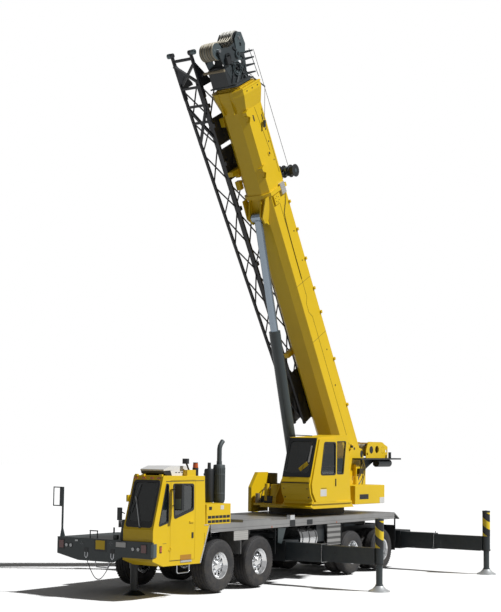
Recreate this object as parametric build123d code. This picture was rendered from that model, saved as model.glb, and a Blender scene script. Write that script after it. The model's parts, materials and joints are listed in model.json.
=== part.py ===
"""Four-axle telescopic truck crane on its outriggers, boom raised over the front.

Frame: +X forward, +Y left, +Z up, millimetres. The origin is on the ground, midway
between the bumper's face and the rearmost point, on the centre plane.
"""
from build123d import *
import os
from math import sin, cos, radians

# ---------------- overall ----------------
overall_length = 11660      # bumper face to tail platform
half_width = 1295           # half the carrier's width
front_x = overall_length / 2
tail_x = -overall_length / 2
gap = 8                     # clearance round a moving piece
fit = 0.08                  # radial clearance of a running pin
seat = 0.3                  # gap where a sliding or turning face rides

# ---------------- axles and wheels ----------------
bumper_to_axle = 2405
steer_spacing = 1520
wheelbase = 5700            # first axle to third axle
drive_spacing = 1500
axle_1 = front_x - bumper_to_axle
axle_x = [axle_1, axle_1 - steer_spacing, axle_1 - wheelbase, axle_1 - wheelbase - drive_spacing]
steer_tyre_r, steer_tyre_w, steer_wheel_y = 563, 420, 1060
drive_tyre_r, drive_tyre_w = 527, 280
dual_outer_y, dual_pitch = 1100, 340
wheel_lift = 35             # tyres hang clear of the ground
bead_r, rim_r = 288, 262
hub_r, disc_t = 95, 24
kingpin_y, kingpin_r = 880, 30
spindle_r = 45
drum_r = 205

# ---------------- carrier frame ----------------
rail_out, rail_in = 450, 360
rail_z0, rail_z1 = 780, 1130
engine_half_w = 400
deck_top, deck_side_z, deck_t = 1490, 1320, 30
deck_front_x, deck_rear_x = axle_1 + 400, axle_x[3] - 530
deck_tail_x, deck_tail_z = axle_x[3] - 800, 1300
deck_step_x, deck_step = axle_1 - 1900, 60     # the front part of the deck stands higher
arch_clear = 60
bumper_z0, bumper_z1, bumper_mid_z0, bumper_t = 868, 1207, 750, 48
bumper_depth = 300          # beside the cab, where the frame carries it
front_deck_z = 1207

# ---------------- outriggers ----------------
box_x = [axle_1 - 2820, axle_x[3] - 1155]   # middle of the front and rear outrigger boxes
box_half_x, box_z0, box_z1, box_end_y = 282, 530, 1000, 1280
beam_pitch = 270            # left and right beams lie side by side
beam_z0, beam_z1, beam_w, beam_wall = 560, 970, 228, 14
stage_1_end, stage_1_length, stage_1_travel = 2260, 2440, 950
stage_2_end, stage_2_length, stage_2_travel = 3545, 1850, 1290
jack_y, sleeve_r, sleeve_wall = 3690, 135, 16
sleeve_z0, sleeve_z1, cap_z, gland = 600, 1560, 1606, 60
jack_tube_r, float_r, float_t = 105, 252, 90
front_jack_x, front_jack_r, front_jack_top = axle_1 + 1380, 80, 700

# ---------------- carrier cab ----------------
cab_in_y, cab_out_y, cab_wall = 480, 1270, 40
cab_profile = [(2000, 700), (2345, 820), (2345, 1450), (2030, 2550), (610, 2530),
               (560, 1489), (400, 1480), (720, 690)]      # side view from the first axle, x and z
door_x0, door_x1, door_z0, door_z1 = 930, 1780, 790, 2450
ac_x0, ac_x1, ac_top = 1090, 1870, 2740
hinge_x, hinge_y, hinge_z = axle_1 + door_x1 - 6, cab_out_y + 12, (1000, 2200)

# ---------------- slewing upper ----------------
tail_radius = 3805
slew_x = tail_x + tail_radius
upper_x = slew_x + 5450     # datum that the upper's outlines are drawn from
ring_r, ring_bore_r, ring_top = 700, 560, 1600
platform_z, platform_t = 2850, 39.7
table_z0, table_z1 = 1680, 1740
cheek_in, cheek_t = 375, 30
upper_cab_y0, upper_cab_y1 = 440, 1250
skirt_in_y, skirt_out_y = 1150, 1250
upper_cab_profile = [(-3760, 1810), (-3720, 1980), (-4060, 3390), (-5420, 3480), (-5550, 1810)]

# ---------------- boom ----------------
boom_angle = 60.1           # elevation at rest
foot_x, foot_z = upper_x - 7200, 2900
foot_pin_r, foot_boss_r = 80, 140
boom_half_w, boom_up, boom_down, boom_wall, boom_chamfer = 350, 394, 466, 14, 150
section_step = 28           # each section is this much smaller all round than the one it slides in
base_length, base_tail = 10300, 330
telescope_travel = 7500     # of each inner section
section_lip = 30            # each inner section stands out this far
mouth_length, mouth_flare = 270, 100     # flared frame at the base section's mouth
lift_eye_along, lift_eye_down = 7127, 600
lift_base_x, lift_base_z = upper_x - 5068, 1950
lift_pin_r, eye_r, eye_half_w = 60, 118, 135
barrel_r, barrel_wall, barrel_length, rod_r = 142, 20, 4240, 100
ear_in, ear_t = 150, 35


# ---------------- folded jib, along the boom ----------------
jib_x0, jib_x1, jib_near_y = 1300, 10600, 480
jib_fork_x, jib_fork_up = 11430, -650
jib_width, jib_depth, jib_tip_share, jib_chord, jib_up = 560, 660, 0.55, 60, -300


# ---------------- small helpers ----------------
def block(x0, x1, y0, y1, z0, z1):
    """Box between two corners."""
    return Pos((x0 + x1) / 2, (y0 + y1) / 2, (z0 + z1) / 2) * Box(abs(x1 - x0), abs(y1 - y0), abs(z1 - z0))


def both(shape):
    """The shape and its mirror image across the centre plane."""
    return shape + mirror(shape, about=Plane.XZ)


def side_plate(points, y0, y1):
    """Side-view outline, x and z, extruded between two y."""
    wire = Polyline(*[(x, y0, z) for x, z in points], close=True)
    return extrude(make_face(wire), amount=y1 - y0, dir=(0, 1, 0))


def front_plate(points, x0, x1):
    """Front-view outline, y and z, extruded between two x."""
    wire = Polyline(*[(x0, y, z) for y, z in points], close=True)
    return extrude(make_face(wire), amount=x1 - x0, dir=(1, 0, 0))


def plan_plate(points, z0, z1):
    """Plan outline, x and y, extruded between two z."""
    wire = Polyline(*[(x, y, z0) for x, y in points], close=True)
    return extrude(make_face(wire), amount=z1 - z0, dir=(0, 0, 1))


def rod_x(x0, x1, y, z, r):
    return Pos((x0 + x1) / 2, y, z) * Rot(0, 90, 0) * Cylinder(r, x1 - x0)


def rod_y(x, y0, y1, z, r):
    return Pos(x, (y0 + y1) / 2, z) * Rot(90, 0, 0) * Cylinder(r, y1 - y0)


def rod_z(x, y, z0, z1, r):
    return Pos(x, y, (z0 + z1) / 2) * Cylinder(r, z1 - z0)


def turned_y(points):
    """Half section, y and radius, revolved about the Y axis."""
    wire = Polyline(*[(0, y, r) for y, r in points], close=True)
    return revolve(make_face(wire), axis=Axis.Y, revolution_arc=360)


def bar(p, q, r):
    """Round bar between two points."""
    start, end = Vector(*p), Vector(*q)
    way = end - start
    return Plane(origin=start, z_dir=way) * Pos(0, 0, way.length / 2) * Cylinder(r, way.length)


def from_axle(points):
    """Outline given from the first axle, moved into the model's frame."""
    return [(axle_1 + x, z) for x, z in points]


def from_upper(points):
    """Outline points given as x from the upper's datum and z."""
    return [(upper_x + x, z) for x, z in points]


def in_boom(shape):
    """A shape drawn along a level boom with its foot pin at the origin, raised to rest."""
    return Location((foot_x, 0, foot_z), (0, -boom_angle, 0)) * shape


# ---------------- wheels ----------------
def tyre_outline(centre, width, r):
    """Half section of one tyre, from its outer bead to its inner one."""
    h = width / 2
    return [(centre + h - 12, bead_r), (centre + h, r * 0.8), (centre + h - 42, r),
            (centre - h + 42, r), (centre - h, r * 0.8), (centre - h + 12, bead_r)]


def faceted_y(outline, sides):
    """Half section (y, radius) swept round Y in flat sides, with a corner straight down."""
    def corner(y, r, i):
        a = radians(360 * i / sides)
        return (r * sin(a), y, -r * cos(a))
    faces = []
    for (ya, ra), (yb, rb) in zip(outline, outline[1:]):
        if ra == 0 or rb == 0:
            y, r = (ya, max(ra, rb))
            faces.append(make_face(Polyline(*[corner(y, r, i) for i in range(sides)], close=True)).faces()[0])
            continue
        for i in range(sides):
            points = [corner(ya, ra, i), corner(yb, rb, i), corner(yb, rb, i + 1), corner(ya, ra, i + 1)]
            faces.append(make_face(Polyline(*points, close=True)).faces()[0])
    solid = Solid(Shell(faces))
    return solid if solid.volume > 0 else Solid(Shell([-face for face in faces]))


def steer_wheel():
    """Wide single tyre on a disc wheel, hub outwards at +Y."""
    h = steer_tyre_w / 2
    disc_y = 95
    outline = [(h - 60, 0), (h - 60, hub_r - 15), (disc_y + disc_t, hub_r), (disc_y + disc_t + 20, rim_r - 20),
               (h - 12, rim_r)]
    outline += tyre_outline(0, steer_tyre_w, steer_tyre_r)
    outline += [(-h + 12, rim_r), (disc_y + 18, rim_r), (disc_y, hub_r), (-20, hub_r), (-20, 0)]
    bore_end = 110
    return faceted_y(outline, 20) - rod_y(0, -30, bore_end, 0, spindle_r + fit)


def drive_wheel():
    """Twin tyres on one hub; y is measured from the outer tyre's middle."""
    h = drive_tyre_w / 2
    disc_y = -155
    inner = -dual_pitch
    outline = [(h - 45, 0), (h - 45, hub_r), (disc_y, hub_r + 60), (disc_y, rim_r), (h - 12, rim_r)]
    outline += tyre_outline(0, drive_tyre_w, drive_tyre_r)
    outline += tyre_outline(inner, drive_tyre_w, drive_tyre_r)
    outline += [(inner - h + 12, rim_r), (disc_y - disc_t, rim_r), (disc_y - disc_t, hub_r), (disc_y - 90, hub_r),
                (disc_y - 90, 0)]
    return faceted_y(outline, 18) - rod_y(0, disc_y - 100, 20, 0, spindle_r + fit)


def place_wheel(wheel, x, y, z, side):
    shape = Pos(x, y, z) * wheel
    return shape if side > 0 else mirror(shape, about=Plane.XZ)


def knuckle(x, z):
    """Left steering knuckle: fork round the kingpin, drum and spindle."""
    arm_top, arm_t, plate_in = 115, 30, kingpin_y + 50
    fork = block(x - 60, x + 60, plate_in, plate_in + 25, z - arm_top - arm_t, z + arm_top + arm_t)
    for s in (1, -1):
        low, high = sorted((z + s * arm_top, z + s * (arm_top + arm_t)))
        fork += block(x - 45, x + 45, kingpin_y - 45, plate_in, low, high)
    fork += rod_z(x, kingpin_y, z - arm_top - arm_t, z + arm_top + arm_t, kingpin_r)
    drum_end = steer_wheel_y - 20 - 6
    fork += rod_y(x, plate_in + 25, drum_end, z, drum_r)
    fork += rod_y(x, plate_in, steer_wheel_y + 105, z, spindle_r)
    return fork


def steer_axles():
    beams = None
    for x in axle_x[:2]:
        z = steer_tyre_r + wheel_lift
        beam = block(x - 50, x + 50, -kingpin_y, kingpin_y, z - 45, z + 45)
        beam += both(rod_z(x, kingpin_y, z - 108, z + 108, 45))
        beam += both(block(x - 420, x + 420, rail_in + 5, rail_out - 5, z + 60, rail_z0))
        beam += both(block(x - 60, x + 60, rail_in + 5, rail_out - 5, z + 40, z + 70))
        beam -= both(rod_z(x, kingpin_y, z - 200, z + 200, kingpin_r + fit))
        beams = beam if beams is None else Compound([beams, beam])
    return beams


def drive_axles():
    axles = []
    z = drive_tyre_r + wheel_lift
    for x in axle_x[2:]:
        axle = rod_y(x, -720, 720, z, 90)
        axle += Pos(x, 0, z) * Sphere(230)
        axle += both(rod_y(x, 560, dual_outer_y + 15, z, spindle_r))
        axle += both(block(x - 420, x + 420, rail_in + 5, rail_out - 5, z + 60, rail_z0))
        axles.append(axle)
    return Compound(axles)


# ---------------- carrier ----------------
def chassis_frame():
    rear = box_x[1] - box_half_x
    front = front_x - bumper_depth
    frame = both(block(rear, front, rail_in, rail_out, rail_z0, rail_z1))
    for x in (rear + 60, axle_x[3] + 760, (axle_x[2] + axle_x[3]) / 2, axle_x[2] + 900, axle_x[1] - 900,
              (axle_x[0] + axle_x[1]) / 2, front - 500, front - 60):
        frame += block(x - 60, x + 60, -rail_in, rail_in, rail_z0 + 40, rail_z1)
    frame += block(slew_x - 900, slew_x + 900, -rail_in, rail_in, rail_z1 - 40, rail_z1)
    frame += rod_z(slew_x, 0, rail_z1 - 40, ring_top, ring_r) - rod_z(slew_x, 0, 0, 3000, ring_bore_r)
    for x in box_x:
        frame += block(x - box_half_x, x + box_half_x, -box_end_y, box_end_y, box_z0, box_z1)
    for x in box_x:
        for s in (1, -1):
            xm = x + s * beam_pitch / 2
            half = beam_w / 2 + gap
            y0, y1 = (-box_end_y + 30, box_end_y + 10) if s > 0 else (-box_end_y - 10, box_end_y - 30)
            frame -= block(xm - half, xm + half, y0, y1, beam_z0 - gap, beam_z1 + gap)
            y_in, y_out = (box_end_y - 150, box_end_y) if s > 0 else (-box_end_y, -box_end_y + 150)
            frame += block(xm - 80, xm + 80, y_in, y_out, beam_z0 - gap - 1, beam_z0 - seat)
    frame += rod_z(front_jack_x, 0, 560, rail_z1, front_jack_r + 20) - rod_z(front_jack_x, 0, 500, 1100, front_jack_r + seat)
    frame += block(front_jack_x - 60, front_jack_x + 60, front_jack_r + 15, rail_in, rail_z1 - 200, rail_z1)
    frame += block(front_jack_x - 60, front_jack_x + 60, -rail_in, -front_jack_r - 15, rail_z1 - 200, rail_z1)
    return frame


def front_bumper():
    """Bumper across the front, deeper in the middle, with two blank plates and lamps."""
    b = half_width
    outline = [(-b, bumper_z1), (-b, bumper_z0), (-700, bumper_mid_z0), (250, bumper_mid_z0),
               (480, bumper_z0), (b, bumper_z0), (b, bumper_z1)]
    plate_x = front_x - 12
    shape = front_plate(outline, plate_x - bumper_t, plate_x)
    shape += block(front_x - bumper_depth, plate_x - 5, -half_width, cab_in_y - 20, bumper_z0 + 12, bumper_z1)
    shape += block(front_x - 13, front_x, -300, -50, 950, 1170)
    shape += block(front_x - 13, front_x, 270, 500, 960, 1080)
    for y in (1170, -1170):
        shape += rod_x(front_x - 13, front_x, y, 1060, 60)
    for y in (950, -950):
        shape += block(front_x - 13, front_x, y - 70, y + 70, 1010, 1110)
    return shape


def front_deck():
    """Plate over the front frame beside the cab, mirror post, boom rest and handles."""
    t = 8
    x0, x1 = axle_1 + 420, front_x - 10
    deck = block(x0, x1, -half_width, cab_in_y - 20, front_deck_z, front_deck_z + t)
    deck += block(x0, front_x - bumper_depth - 10, -half_width, -half_width + 8, front_deck_z - 190, front_deck_z + t)
    post_x = axle_1 + 2300
    z = front_deck_z + t
    deck += rod_z(post_x, -half_width + 45, z, 2260, 22)
    deck += side_plate([(post_x - 90, z), (post_x + 60, z), (post_x + 20, z + 190), (post_x - 20, z + 190)],
                       -half_width + 39, -half_width + 51)
    mirror_y = -half_width + 45
    for zz in (1860, 2250):
        deck += bar((post_x, mirror_y, zz), (post_x, mirror_y - 270, zz), 12)
    deck += bar((post_x, mirror_y - 270, 1848), (post_x, mirror_y - 270, 2262), 12)
    deck += block(post_x - 10, post_x + 10, mirror_y - 90, mirror_y + 10, 1850, 2262)
    rest_x = axle_1 + 2060
    deck += side_plate([(rest_x - 160, z), (rest_x + 160, z), (rest_x + 90, 1620), (rest_x - 20, 1620)], 290, 410)
    for y in (-500, -300):
        deck += rod_z(axle_1 + 2250, y, z, z + 150, 12)
    deck += rod_y(axle_1 + 2250, -512, -288, z + 150, 12)
    deck += rod_z(axle_1 + 2200, 170, z, z + 90, 60)
    return deck


def cab_shell(profile, y0, y1, wall):
    """Hollow cab from its side outline."""
    outer = make_face(Polyline(*[(x, y0, z) for x, z in profile], close=True))
    inner = offset(outer, amount=-wall, kind=Kind.INTERSECTION)
    shell = extrude(outer, amount=y1 - y0, dir=(0, 1, 0))
    hollow = extrude(inner, amount=y1 - y0 - 2 * wall, dir=(0, 1, 0))
    return shell - Pos(0, wall, 0) * hollow


def carrier_cab():
    profile = from_axle(cab_profile)
    cab = cab_shell(profile, cab_in_y, cab_out_y, cab_wall)
    cab -= windscreen_block(0)
    cab -= block(axle_1 + door_x0, axle_1 + door_x1, cab_out_y - 200, cab_out_y + 20, door_z0, door_z1)
    cab -= side_plate(from_axle(quarter_window), cab_out_y - 60, cab_out_y + 10)
    cab -= block(axle_1 + 900, axle_1 + 1850, cab_in_y - 10, cab_in_y + 60, 1650, 2330)
    cab -= block(axle_1 + 500, axle_1 + 700, cab_in_y + 120, cab_out_y - 120, 1750, 2330)
    cab += block(axle_1 + 620, axle_1 + 2330, cab_in_y + 30, cab_out_y - cab_wall - gap, 1000, 1030)
    ac_y0, ac_y1 = cab_in_y + 60, cab_out_y - 130
    cab += side_plate(from_axle([(ac_x0, 2540), (ac_x0 + 40, ac_top), (ac_x1 - 260, ac_top), (ac_x1, 2640),
                                 (ac_x1 - 10, 2590), (ac_x1 - 160, 2540)]), ac_y0, ac_y1)
    for z in hinge_z:
        cab += rod_z(hinge_x, hinge_y, z, z + 40, 9) + block(hinge_x, hinge_x + 45, cab_out_y - 5, hinge_y, z, z + 40)
    for y in (cab_in_y + 80, cab_in_y + 260, cab_out_y - 60):
        cab += block(axle_1 + 2010, axle_1 + 2060, y - 35, y + 35, 2530, 2575)
    return cab


quarter_window = [(1930, 2390), (1850, 2360), (1850, 1590), (2160, 1520)]
door_window = [(1700, 2370), (1000, 2360), (990, 1830), (1650, 1660)]
screen_z0, screen_z1, screen_y0, screen_y1 = 1560, 2440, 540, 1210


def windscreen_block(shrink):
    """Slab through the raked front, cut out of the cab and filled by the glass."""
    lean = (2345 - 2030) / (2550 - 1450)
    x_at = lambda z: axle_1 + 2345 - (z - 1450) * lean
    z0, z1 = screen_z0 + shrink, screen_z1 - shrink
    depth_out, depth_in = (40, 90) if shrink == 0 else (-8, 26)
    points = [(x_at(z0) + depth_out, z0), (x_at(z1) + depth_out, z1), (x_at(z1) - depth_in, z1),
              (x_at(z0) - depth_in, z0)]
    return side_plate(points, screen_y0 + shrink, screen_y1 - shrink)


def carrier_cab_glass():
    s = seat
    panes = [windscreen_block(s)]
    quarter = make_face(Polyline(*[(x, cab_out_y - 26, z) for x, z in from_axle(quarter_window)], close=True))
    panes.append(extrude(offset(quarter, amount=-s, kind=Kind.INTERSECTION), amount=10, dir=(0, 1, 0)))
    panes.append(block(axle_1 + 900 + s, axle_1 + 1850 - s, cab_in_y + 14, cab_in_y + 24, 1650 + s, 2330 - s))
    x_rear = axle_1 + 585
    panes.append(block(x_rear + 12, x_rear + 22, cab_in_y + 120 + s, cab_out_y - 120 - s, 1750 + s, 2330 - s))
    return Compound(panes)


def carrier_seat():
    x, y, z = axle_1 + 1150, 860, 1030
    seat_shape = block(x - 230, x + 230, y - 220, y + 220, z + 250, z + 380)
    seat_shape += side_plate([(x - 230, z + 330), (x - 130, z + 330), (x - 230, z + 1050), (x - 320, z + 1050)],
                             y - 210, y + 210)
    seat_shape += block(x - 120, x + 120, y - 120, y + 120, z, z + 250)
    column = bar((x + 750, y, z + 30), (x + 612, y, z + 590), 30)
    column += block(x + 650, x + 850, y - 60, y + 60, z, z + 60)
    wheel = Location((x + 610, y, z + 590), (0, -14, 0)) * (Torus(200, 16) + Box(400, 40, 20) + Cylinder(50, 40))
    return Compound([seat_shape, column + wheel])


def carrier_door():
    g = 6
    panel = block(axle_1 + door_x0 + g, axle_1 + door_x1 - g, cab_out_y - 40, cab_out_y, door_z0 + g, door_z1 - g)
    panel -= side_plate(from_axle(door_window), cab_out_y - 60, cab_out_y + 10)
    for z in hinge_z:
        low, high = z + 40 + seat, z + 80
        panel += rod_z(hinge_x, hinge_y, low, high, 9) + block(hinge_x - 45, hinge_x, cab_out_y - 5, hinge_y, low, high)
    panel += block(axle_1 + door_x0 + 60, axle_1 + door_x0 + 200, cab_out_y, cab_out_y + 22, 1560, 1590)
    return panel


def carrier_door_glass():
    face = make_face(Polyline(*[(x, cab_out_y - 26, z) for x, z in from_axle(door_window)], close=True))
    return extrude(offset(face, amount=-seat, kind=Kind.INTERSECTION), amount=10, dir=(0, 1, 0))


def engine():
    """Plain block between the frame rails behind the cab."""
    x0, x1 = axle_1 - 700, axle_1 + 300
    shape = block(x0, x1, -engine_half_w, engine_half_w, rail_z1, deck_top - deck_t - 20)
    shape += block(x0 + 100, x1 - 100, -rail_in + 40, rail_in - 40, 700, rail_z1 + 5)
    return shape


def engine_hood():
    """Louvred box behind the cab on the left."""
    x0, x1, y0 = axle_1 - 360, axle_1 + 530, cab_in_y
    hood = block(x0, x1, y0, cab_out_y, deck_top, 1920)
    for z in (1600, 1740):
        for i in range(6):
            xs = x0 + 90 + i * 120
            hood -= block(xs, xs + 70, cab_out_y - 15, cab_out_y + 5, z, z + 60)
    return hood


def deck():
    """Tread plate deck over the frame with side flanges, sloped down at the tail."""
    b = half_width
    x0, x1 = deck_rear_x, deck_front_x
    plate = block(x0, x1, -b, b, deck_top - deck_t, deck_top)
    plate += both(block(x0, x1, b - 20, b, deck_side_z, deck_top))
    plate += block(deck_step_x, axle_1 - 800, -b, b, deck_top - 5, deck_top + deck_step)
    plate += both(block(axle_1 - 805, deck_front_x - 20, b - 300, b, deck_top - 5, deck_top + 0.0))
    tail = side_plate([(x0, deck_top - deck_t), (x0, deck_top), (deck_tail_x, deck_tail_z + deck_t),
                       (deck_tail_x, deck_tail_z)], -b, b)
    plate += tail
    for x in (deck_front_x - 60, axle_x[0] - 760, axle_x[1] - 760, box_x[0] - 460, slew_x + 900, slew_x - 850,
              axle_x[3] - 440):
        plate += block(x - 15, x + 15, -b + 20, b - 20, deck_side_z + 20, deck_top - deck_t)
        plate += block(x - 15, x + 15, -rail_out, rail_out, rail_z1, deck_side_z + 20)
    plate += both(block(axle_x[0] - 768, axle_x[0] - 752, 700, b - 20, 800, deck_side_z + 20))
    plate -= rod_z(slew_x, 0, 1000, 2000, ring_r + gap)
    plate -= block(axle_1 - 720, axle_1 + 310, -engine_half_w - gap, engine_half_w + gap, rail_z1, deck_top - deck_t)
    return plate


def air_cleaner():
    """Exhaust silencer standing behind the cab with its bent stack."""
    x, y = axle_1 - 580, 900
    z = deck_top
    body = rod_z(x, y, z, z + 75, 90) + rod_z(x, y, z + 70, z + 1150, 175) + rod_z(x, y, z + 1150, z + 1570, 60)
    body += bar((x, y, z + 1560), (x - 110, y, z + 1790), 60) + Pos(x, y, z + 1565) * Sphere(60)
    return body


def side_tank():
    """Round fuel tank under the left deck edge, on its saddle."""
    x0, x1, z = box_x[0] - 1180, box_x[0] - 420, 1010
    tank = rod_x(x0, x1, 980, z, 270)
    tank += block(x0 + 100, x0 + 160, rail_out, 980, z - 60, z + 60)
    tank += block(x1 - 160, x1 - 100, rail_out, 980, z - 60, z + 60)
    return both(tank)


def side_steps():
    """Step box and rungs under the left and right deck edge, hung from the frame."""
    x0, x1 = box_x[0] - 1650, box_x[0] - 1230
    steps = block(x0, x1, rail_out, 1180, 900, deck_side_z)
    for z in (520, 700):
        steps += block(x0, x1, 1000, 1240, z, z + 25)
    for x in (x0, x1 - 20):
        steps += block(x, x + 20, 1140, 1180, 520, 900)
    return both(steps)


# ---------------- outriggers ----------------
def hollow_beam(xm, y0, y1, z0, z1, w, wall):
    return block(xm - w / 2, xm + w / 2, y0, y1, z0, z1) - \
        block(xm - w / 2 + wall, xm + w / 2 - wall, y0 - 10, y1 + 10, z0 + wall, z1 - wall)


def outrigger_outer(xm):
    """First stage of a left beam."""
    floor = beam_z0 + beam_wall
    beam = hollow_beam(xm, stage_1_end - stage_1_length, stage_1_end, beam_z0, beam_z1, beam_w, beam_wall)
    return beam + block(xm - 60, xm + 60, stage_1_end - 150, stage_1_end, floor - 1, floor + gap - seat)


def outrigger_inner(xm):
    """Second stage with the jack's sleeve and cap at its end."""
    inset = beam_wall + gap
    z0, z1, w = beam_z0 + inset, beam_z1 - inset, beam_w - 2 * inset
    beam = hollow_beam(xm, stage_2_end - stage_2_length, stage_2_end, z0, z1, w, beam_wall)
    beam += block(xm - w / 2, xm + w / 2, stage_2_end, jack_y, z0, z1)
    beam += rod_z(xm, jack_y, sleeve_z0, cap_z, sleeve_r)
    beam -= rod_z(xm, jack_y, sleeve_z0 + gland, sleeve_z1, sleeve_r - sleeve_wall)
    beam -= rod_z(xm, jack_y, sleeve_z0 - 200, sleeve_z1, jack_tube_r + seat)
    return beam


def jack_foot(x, y, r, top):
    """Jack tube with its round float."""
    cone = Pos(x, y, float_t / 2) * Cone(float_r, r + 10, float_t)
    return cone + rod_z(x, y, float_t - 20, top, r)


# ---------------- upper ----------------
def ear_plates(x, z, along, y_in, t):
    """Pair of ears round a pin."""
    ears = rod_y(x, y_in, y_in + t, z, along)
    return both(ears)


def turntable():
    table = rod_z(slew_x, 0, ring_top + seat, table_z0 + 5, ring_r - 20) - rod_z(slew_x, 0, 1000, table_z0, ring_bore_r)
    x_rear, x_front = upper_x - 7750, upper_x - 3950
    table += block(x_rear, x_front, -cheek_in - cheek_t, cheek_in + cheek_t, table_z0, table_z1)
    cheek = [(-7750, table_z1), (-7750, 2600), (-7560, 3130), (-7080, 3230), (-6860, 3000), (-6500, 2700),
             (-4900, 2350), (-4600, 1900), (-4600, table_z1)]
    table += both(side_plate(from_upper(cheek), cheek_in, cheek_in + cheek_t))
    table += rod_y(foot_x, -cheek_in - cheek_t, cheek_in + cheek_t, foot_z, foot_pin_r)
    table += block(upper_x - 5400, upper_x - 4700, -skirt_in_y - 5, -cheek_in, table_z0, table_z1)
    ears = both(side_plate([(lift_base_x - 330, table_z1 - 5), (lift_base_x - 150, lift_base_z + 100),
                            (lift_base_x, lift_base_z + 170), (lift_base_x + 150, lift_base_z + 100),
                            (lift_base_x + 330, table_z1 - 5)], ear_in, ear_in + ear_t))
    table += ears
    floor_z = upper_cab_profile[0][1]
    cab_sill = [(-3820, table_z0 + 10), (-3660, table_z0 + 60), (-3760, floor_z), (-5550, floor_z), (-5700, table_z0 + 10)]
    table += side_plate(from_upper(cab_sill), cheek_in + cheek_t - 1, upper_cab_y1)
    return table + skirt()


def skirt():
    """Right front housing beside the lift cylinder."""
    outline = [(-4640, 1510), (-4640, 2130), (-4930, 2510), (-5400, 2510), (-5400, 1510)]
    return side_plate(from_upper(outline), -skirt_out_y, -skirt_in_y)


def upper_cab():
    profile = from_upper(upper_cab_profile)
    cab = cab_shell(profile, upper_cab_y0, upper_cab_y1, cab_wall)
    cab -= side_plate(from_upper([(-3950, 2480), (-4150, 3300), (-4100, 3420), (-3500, 3420), (-3500, 2480)]),
                      upper_cab_y0 + 50, upper_cab_y1 - 50)
    cab -= block(upper_x + upper_door_x0, upper_x + upper_door_x1, upper_cab_y1 - 60, upper_cab_y1 + 10, 1860, 3340)
    cab -= block(upper_x - 5400, upper_x - 5000, upper_cab_y1 - 60, upper_cab_y1 + 10, 2480, 3320)
    cab += block(upper_x - 5500, upper_x + upper_door_x1 + 60, upper_cab_y1 - 5, upper_cab_y1 + 36, 1830, 1850 - seat)
    cab -= block(upper_x - 5100, upper_x - 4250, upper_cab_y0 - 10, upper_cab_y0 + 60, 2480, 3250)
    return cab


upper_door_x0, upper_door_x1 = -4920, -4120


def upper_cab_glass():
    s = seat
    lean = (4060 - 3720) / (3390 - 1980)
    x_at = lambda z: upper_x - 3720 - (z - 1980) * lean
    z0, z1 = 2480 + s, 3300
    front = side_plate([(x_at(z0) - 12, z0), (x_at(z1) - 12, z1), (x_at(z1) - 24, z1), (x_at(z0) - 24, z0)],
                       upper_cab_y0 + 50 + s, upper_cab_y1 - 50 - s)
    rear = block(upper_x - 5400 + s, upper_x - 5000 - s, upper_cab_y1 - 26, upper_cab_y1 - 16, 2480 + s, 3320 - s)
    inner = block(upper_x - 5100 + s, upper_x - 4250 - s, upper_cab_y0 + 14, upper_cab_y0 + 24, 2480 + s, 3250 - s)
    return Compound([front, rear, inner])


def upper_seat():
    x, y, z = upper_x - 4850, 850, 1850
    shape = block(x - 220, x + 250, y - 230, y + 230, z + 330, z + 460)
    shape += side_plate([(x - 230, z + 400), (x - 120, z + 400), (x - 240, z + 1150), (x - 330, z + 1150)],
                        y - 210, y + 210)
    shape += block(x - 130, x + 130, y - 130, y + 130, z, z + 330)
    return shape


def upper_door():
    """Sliding door outside the cab's left wall."""
    y0 = upper_cab_y1 + 6
    door = block(upper_x + upper_door_x0 - 40, upper_x + upper_door_x1 + 40, y0, y0 + 30, 1850, 3370)
    door -= block(upper_x + upper_door_x0 + 40, upper_x + upper_door_x1 - 40, y0 - 10, y0 + 60, 2480, 3290)
    return door


def upper_door_glass():
    y0 = upper_cab_y1 + 6
    s = seat
    return block(upper_x + upper_door_x0 + 40 + s, upper_x + upper_door_x1 - 40 - s, y0 + 10, y0 + 20, 2480 + s, 3290 - s)


def side_boxes():
    """Long box behind the cab on the left, and its twin on the right."""
    shape = both(block(upper_x - 7280, upper_x - 5770, cheek_in + cheek_t, 1250, table_z1, 2210))
    return shape


def counterweight():
    return block(upper_x - 7740, upper_x - 7250, -cheek_in, cheek_in, table_z1, 2300)


def hoists():
    """Main and auxiliary rope drums in their frames behind the boom's foot."""
    plates = both(side_plate(from_upper([(-8960, 2890), (-8960, 3200), (-8600, 3330), (-7900, 3330), (-7780, 3100),
                                        (-7780, 2890)]), 380, 405))
    shape = plates
    for x in (-8060, -8680):
        shape += rod_y(upper_x + x, -380, 380, 3110, 165)
        for y in (-350, 330):
            shape += rod_y(upper_x + x, y, y + 20, 3110, 215)
    return shape


def hoist_platform():
    """Plate behind the boom's foot that carries the hoists, on brackets at the cheeks' rear edges."""
    x0, x1, z = tail_x, upper_x - 7760, platform_z
    plate = block(x0, x1, -660, 660, z, z + platform_t)
    plate += both(block(x1 - 5, upper_x - 7050, cheek_in + cheek_t + seat, 660, z, z + platform_t))
    plate += both(side_plate(from_upper([(-8300, z + 5), (-7750.5, 2600), (-7661, z + 5)]), cheek_in, cheek_in + cheek_t))
    plate += rod_x(tail_x + 450, tail_x + 1150, 520, z - 95, 100)
    plate += rod_z(tail_x + 355, 500, z + platform_t - 1, z + 200, 40)
    return plate


# ---------------- boom ----------------
def box_section(x0, x1, level):
    """Hollow boom section; level 0 is the base."""
    s = level * section_step
    w, up, down, c = boom_half_w - s, boom_up - s, boom_down - s, boom_chamfer
    t = boom_wall

    def outline(k):
        cc = c - k * 0.4
        return [(-w + k, up - k), (-w + k, -down + k + cc), (-w + k + cc, -down + k), (w - k - cc, -down + k),
                (w - k, -down + k + cc), (w - k, up - k)]
    return front_plate(outline(0), x0, x1) - front_plate(outline(t), x0 - 10, x1 + 10)


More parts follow.
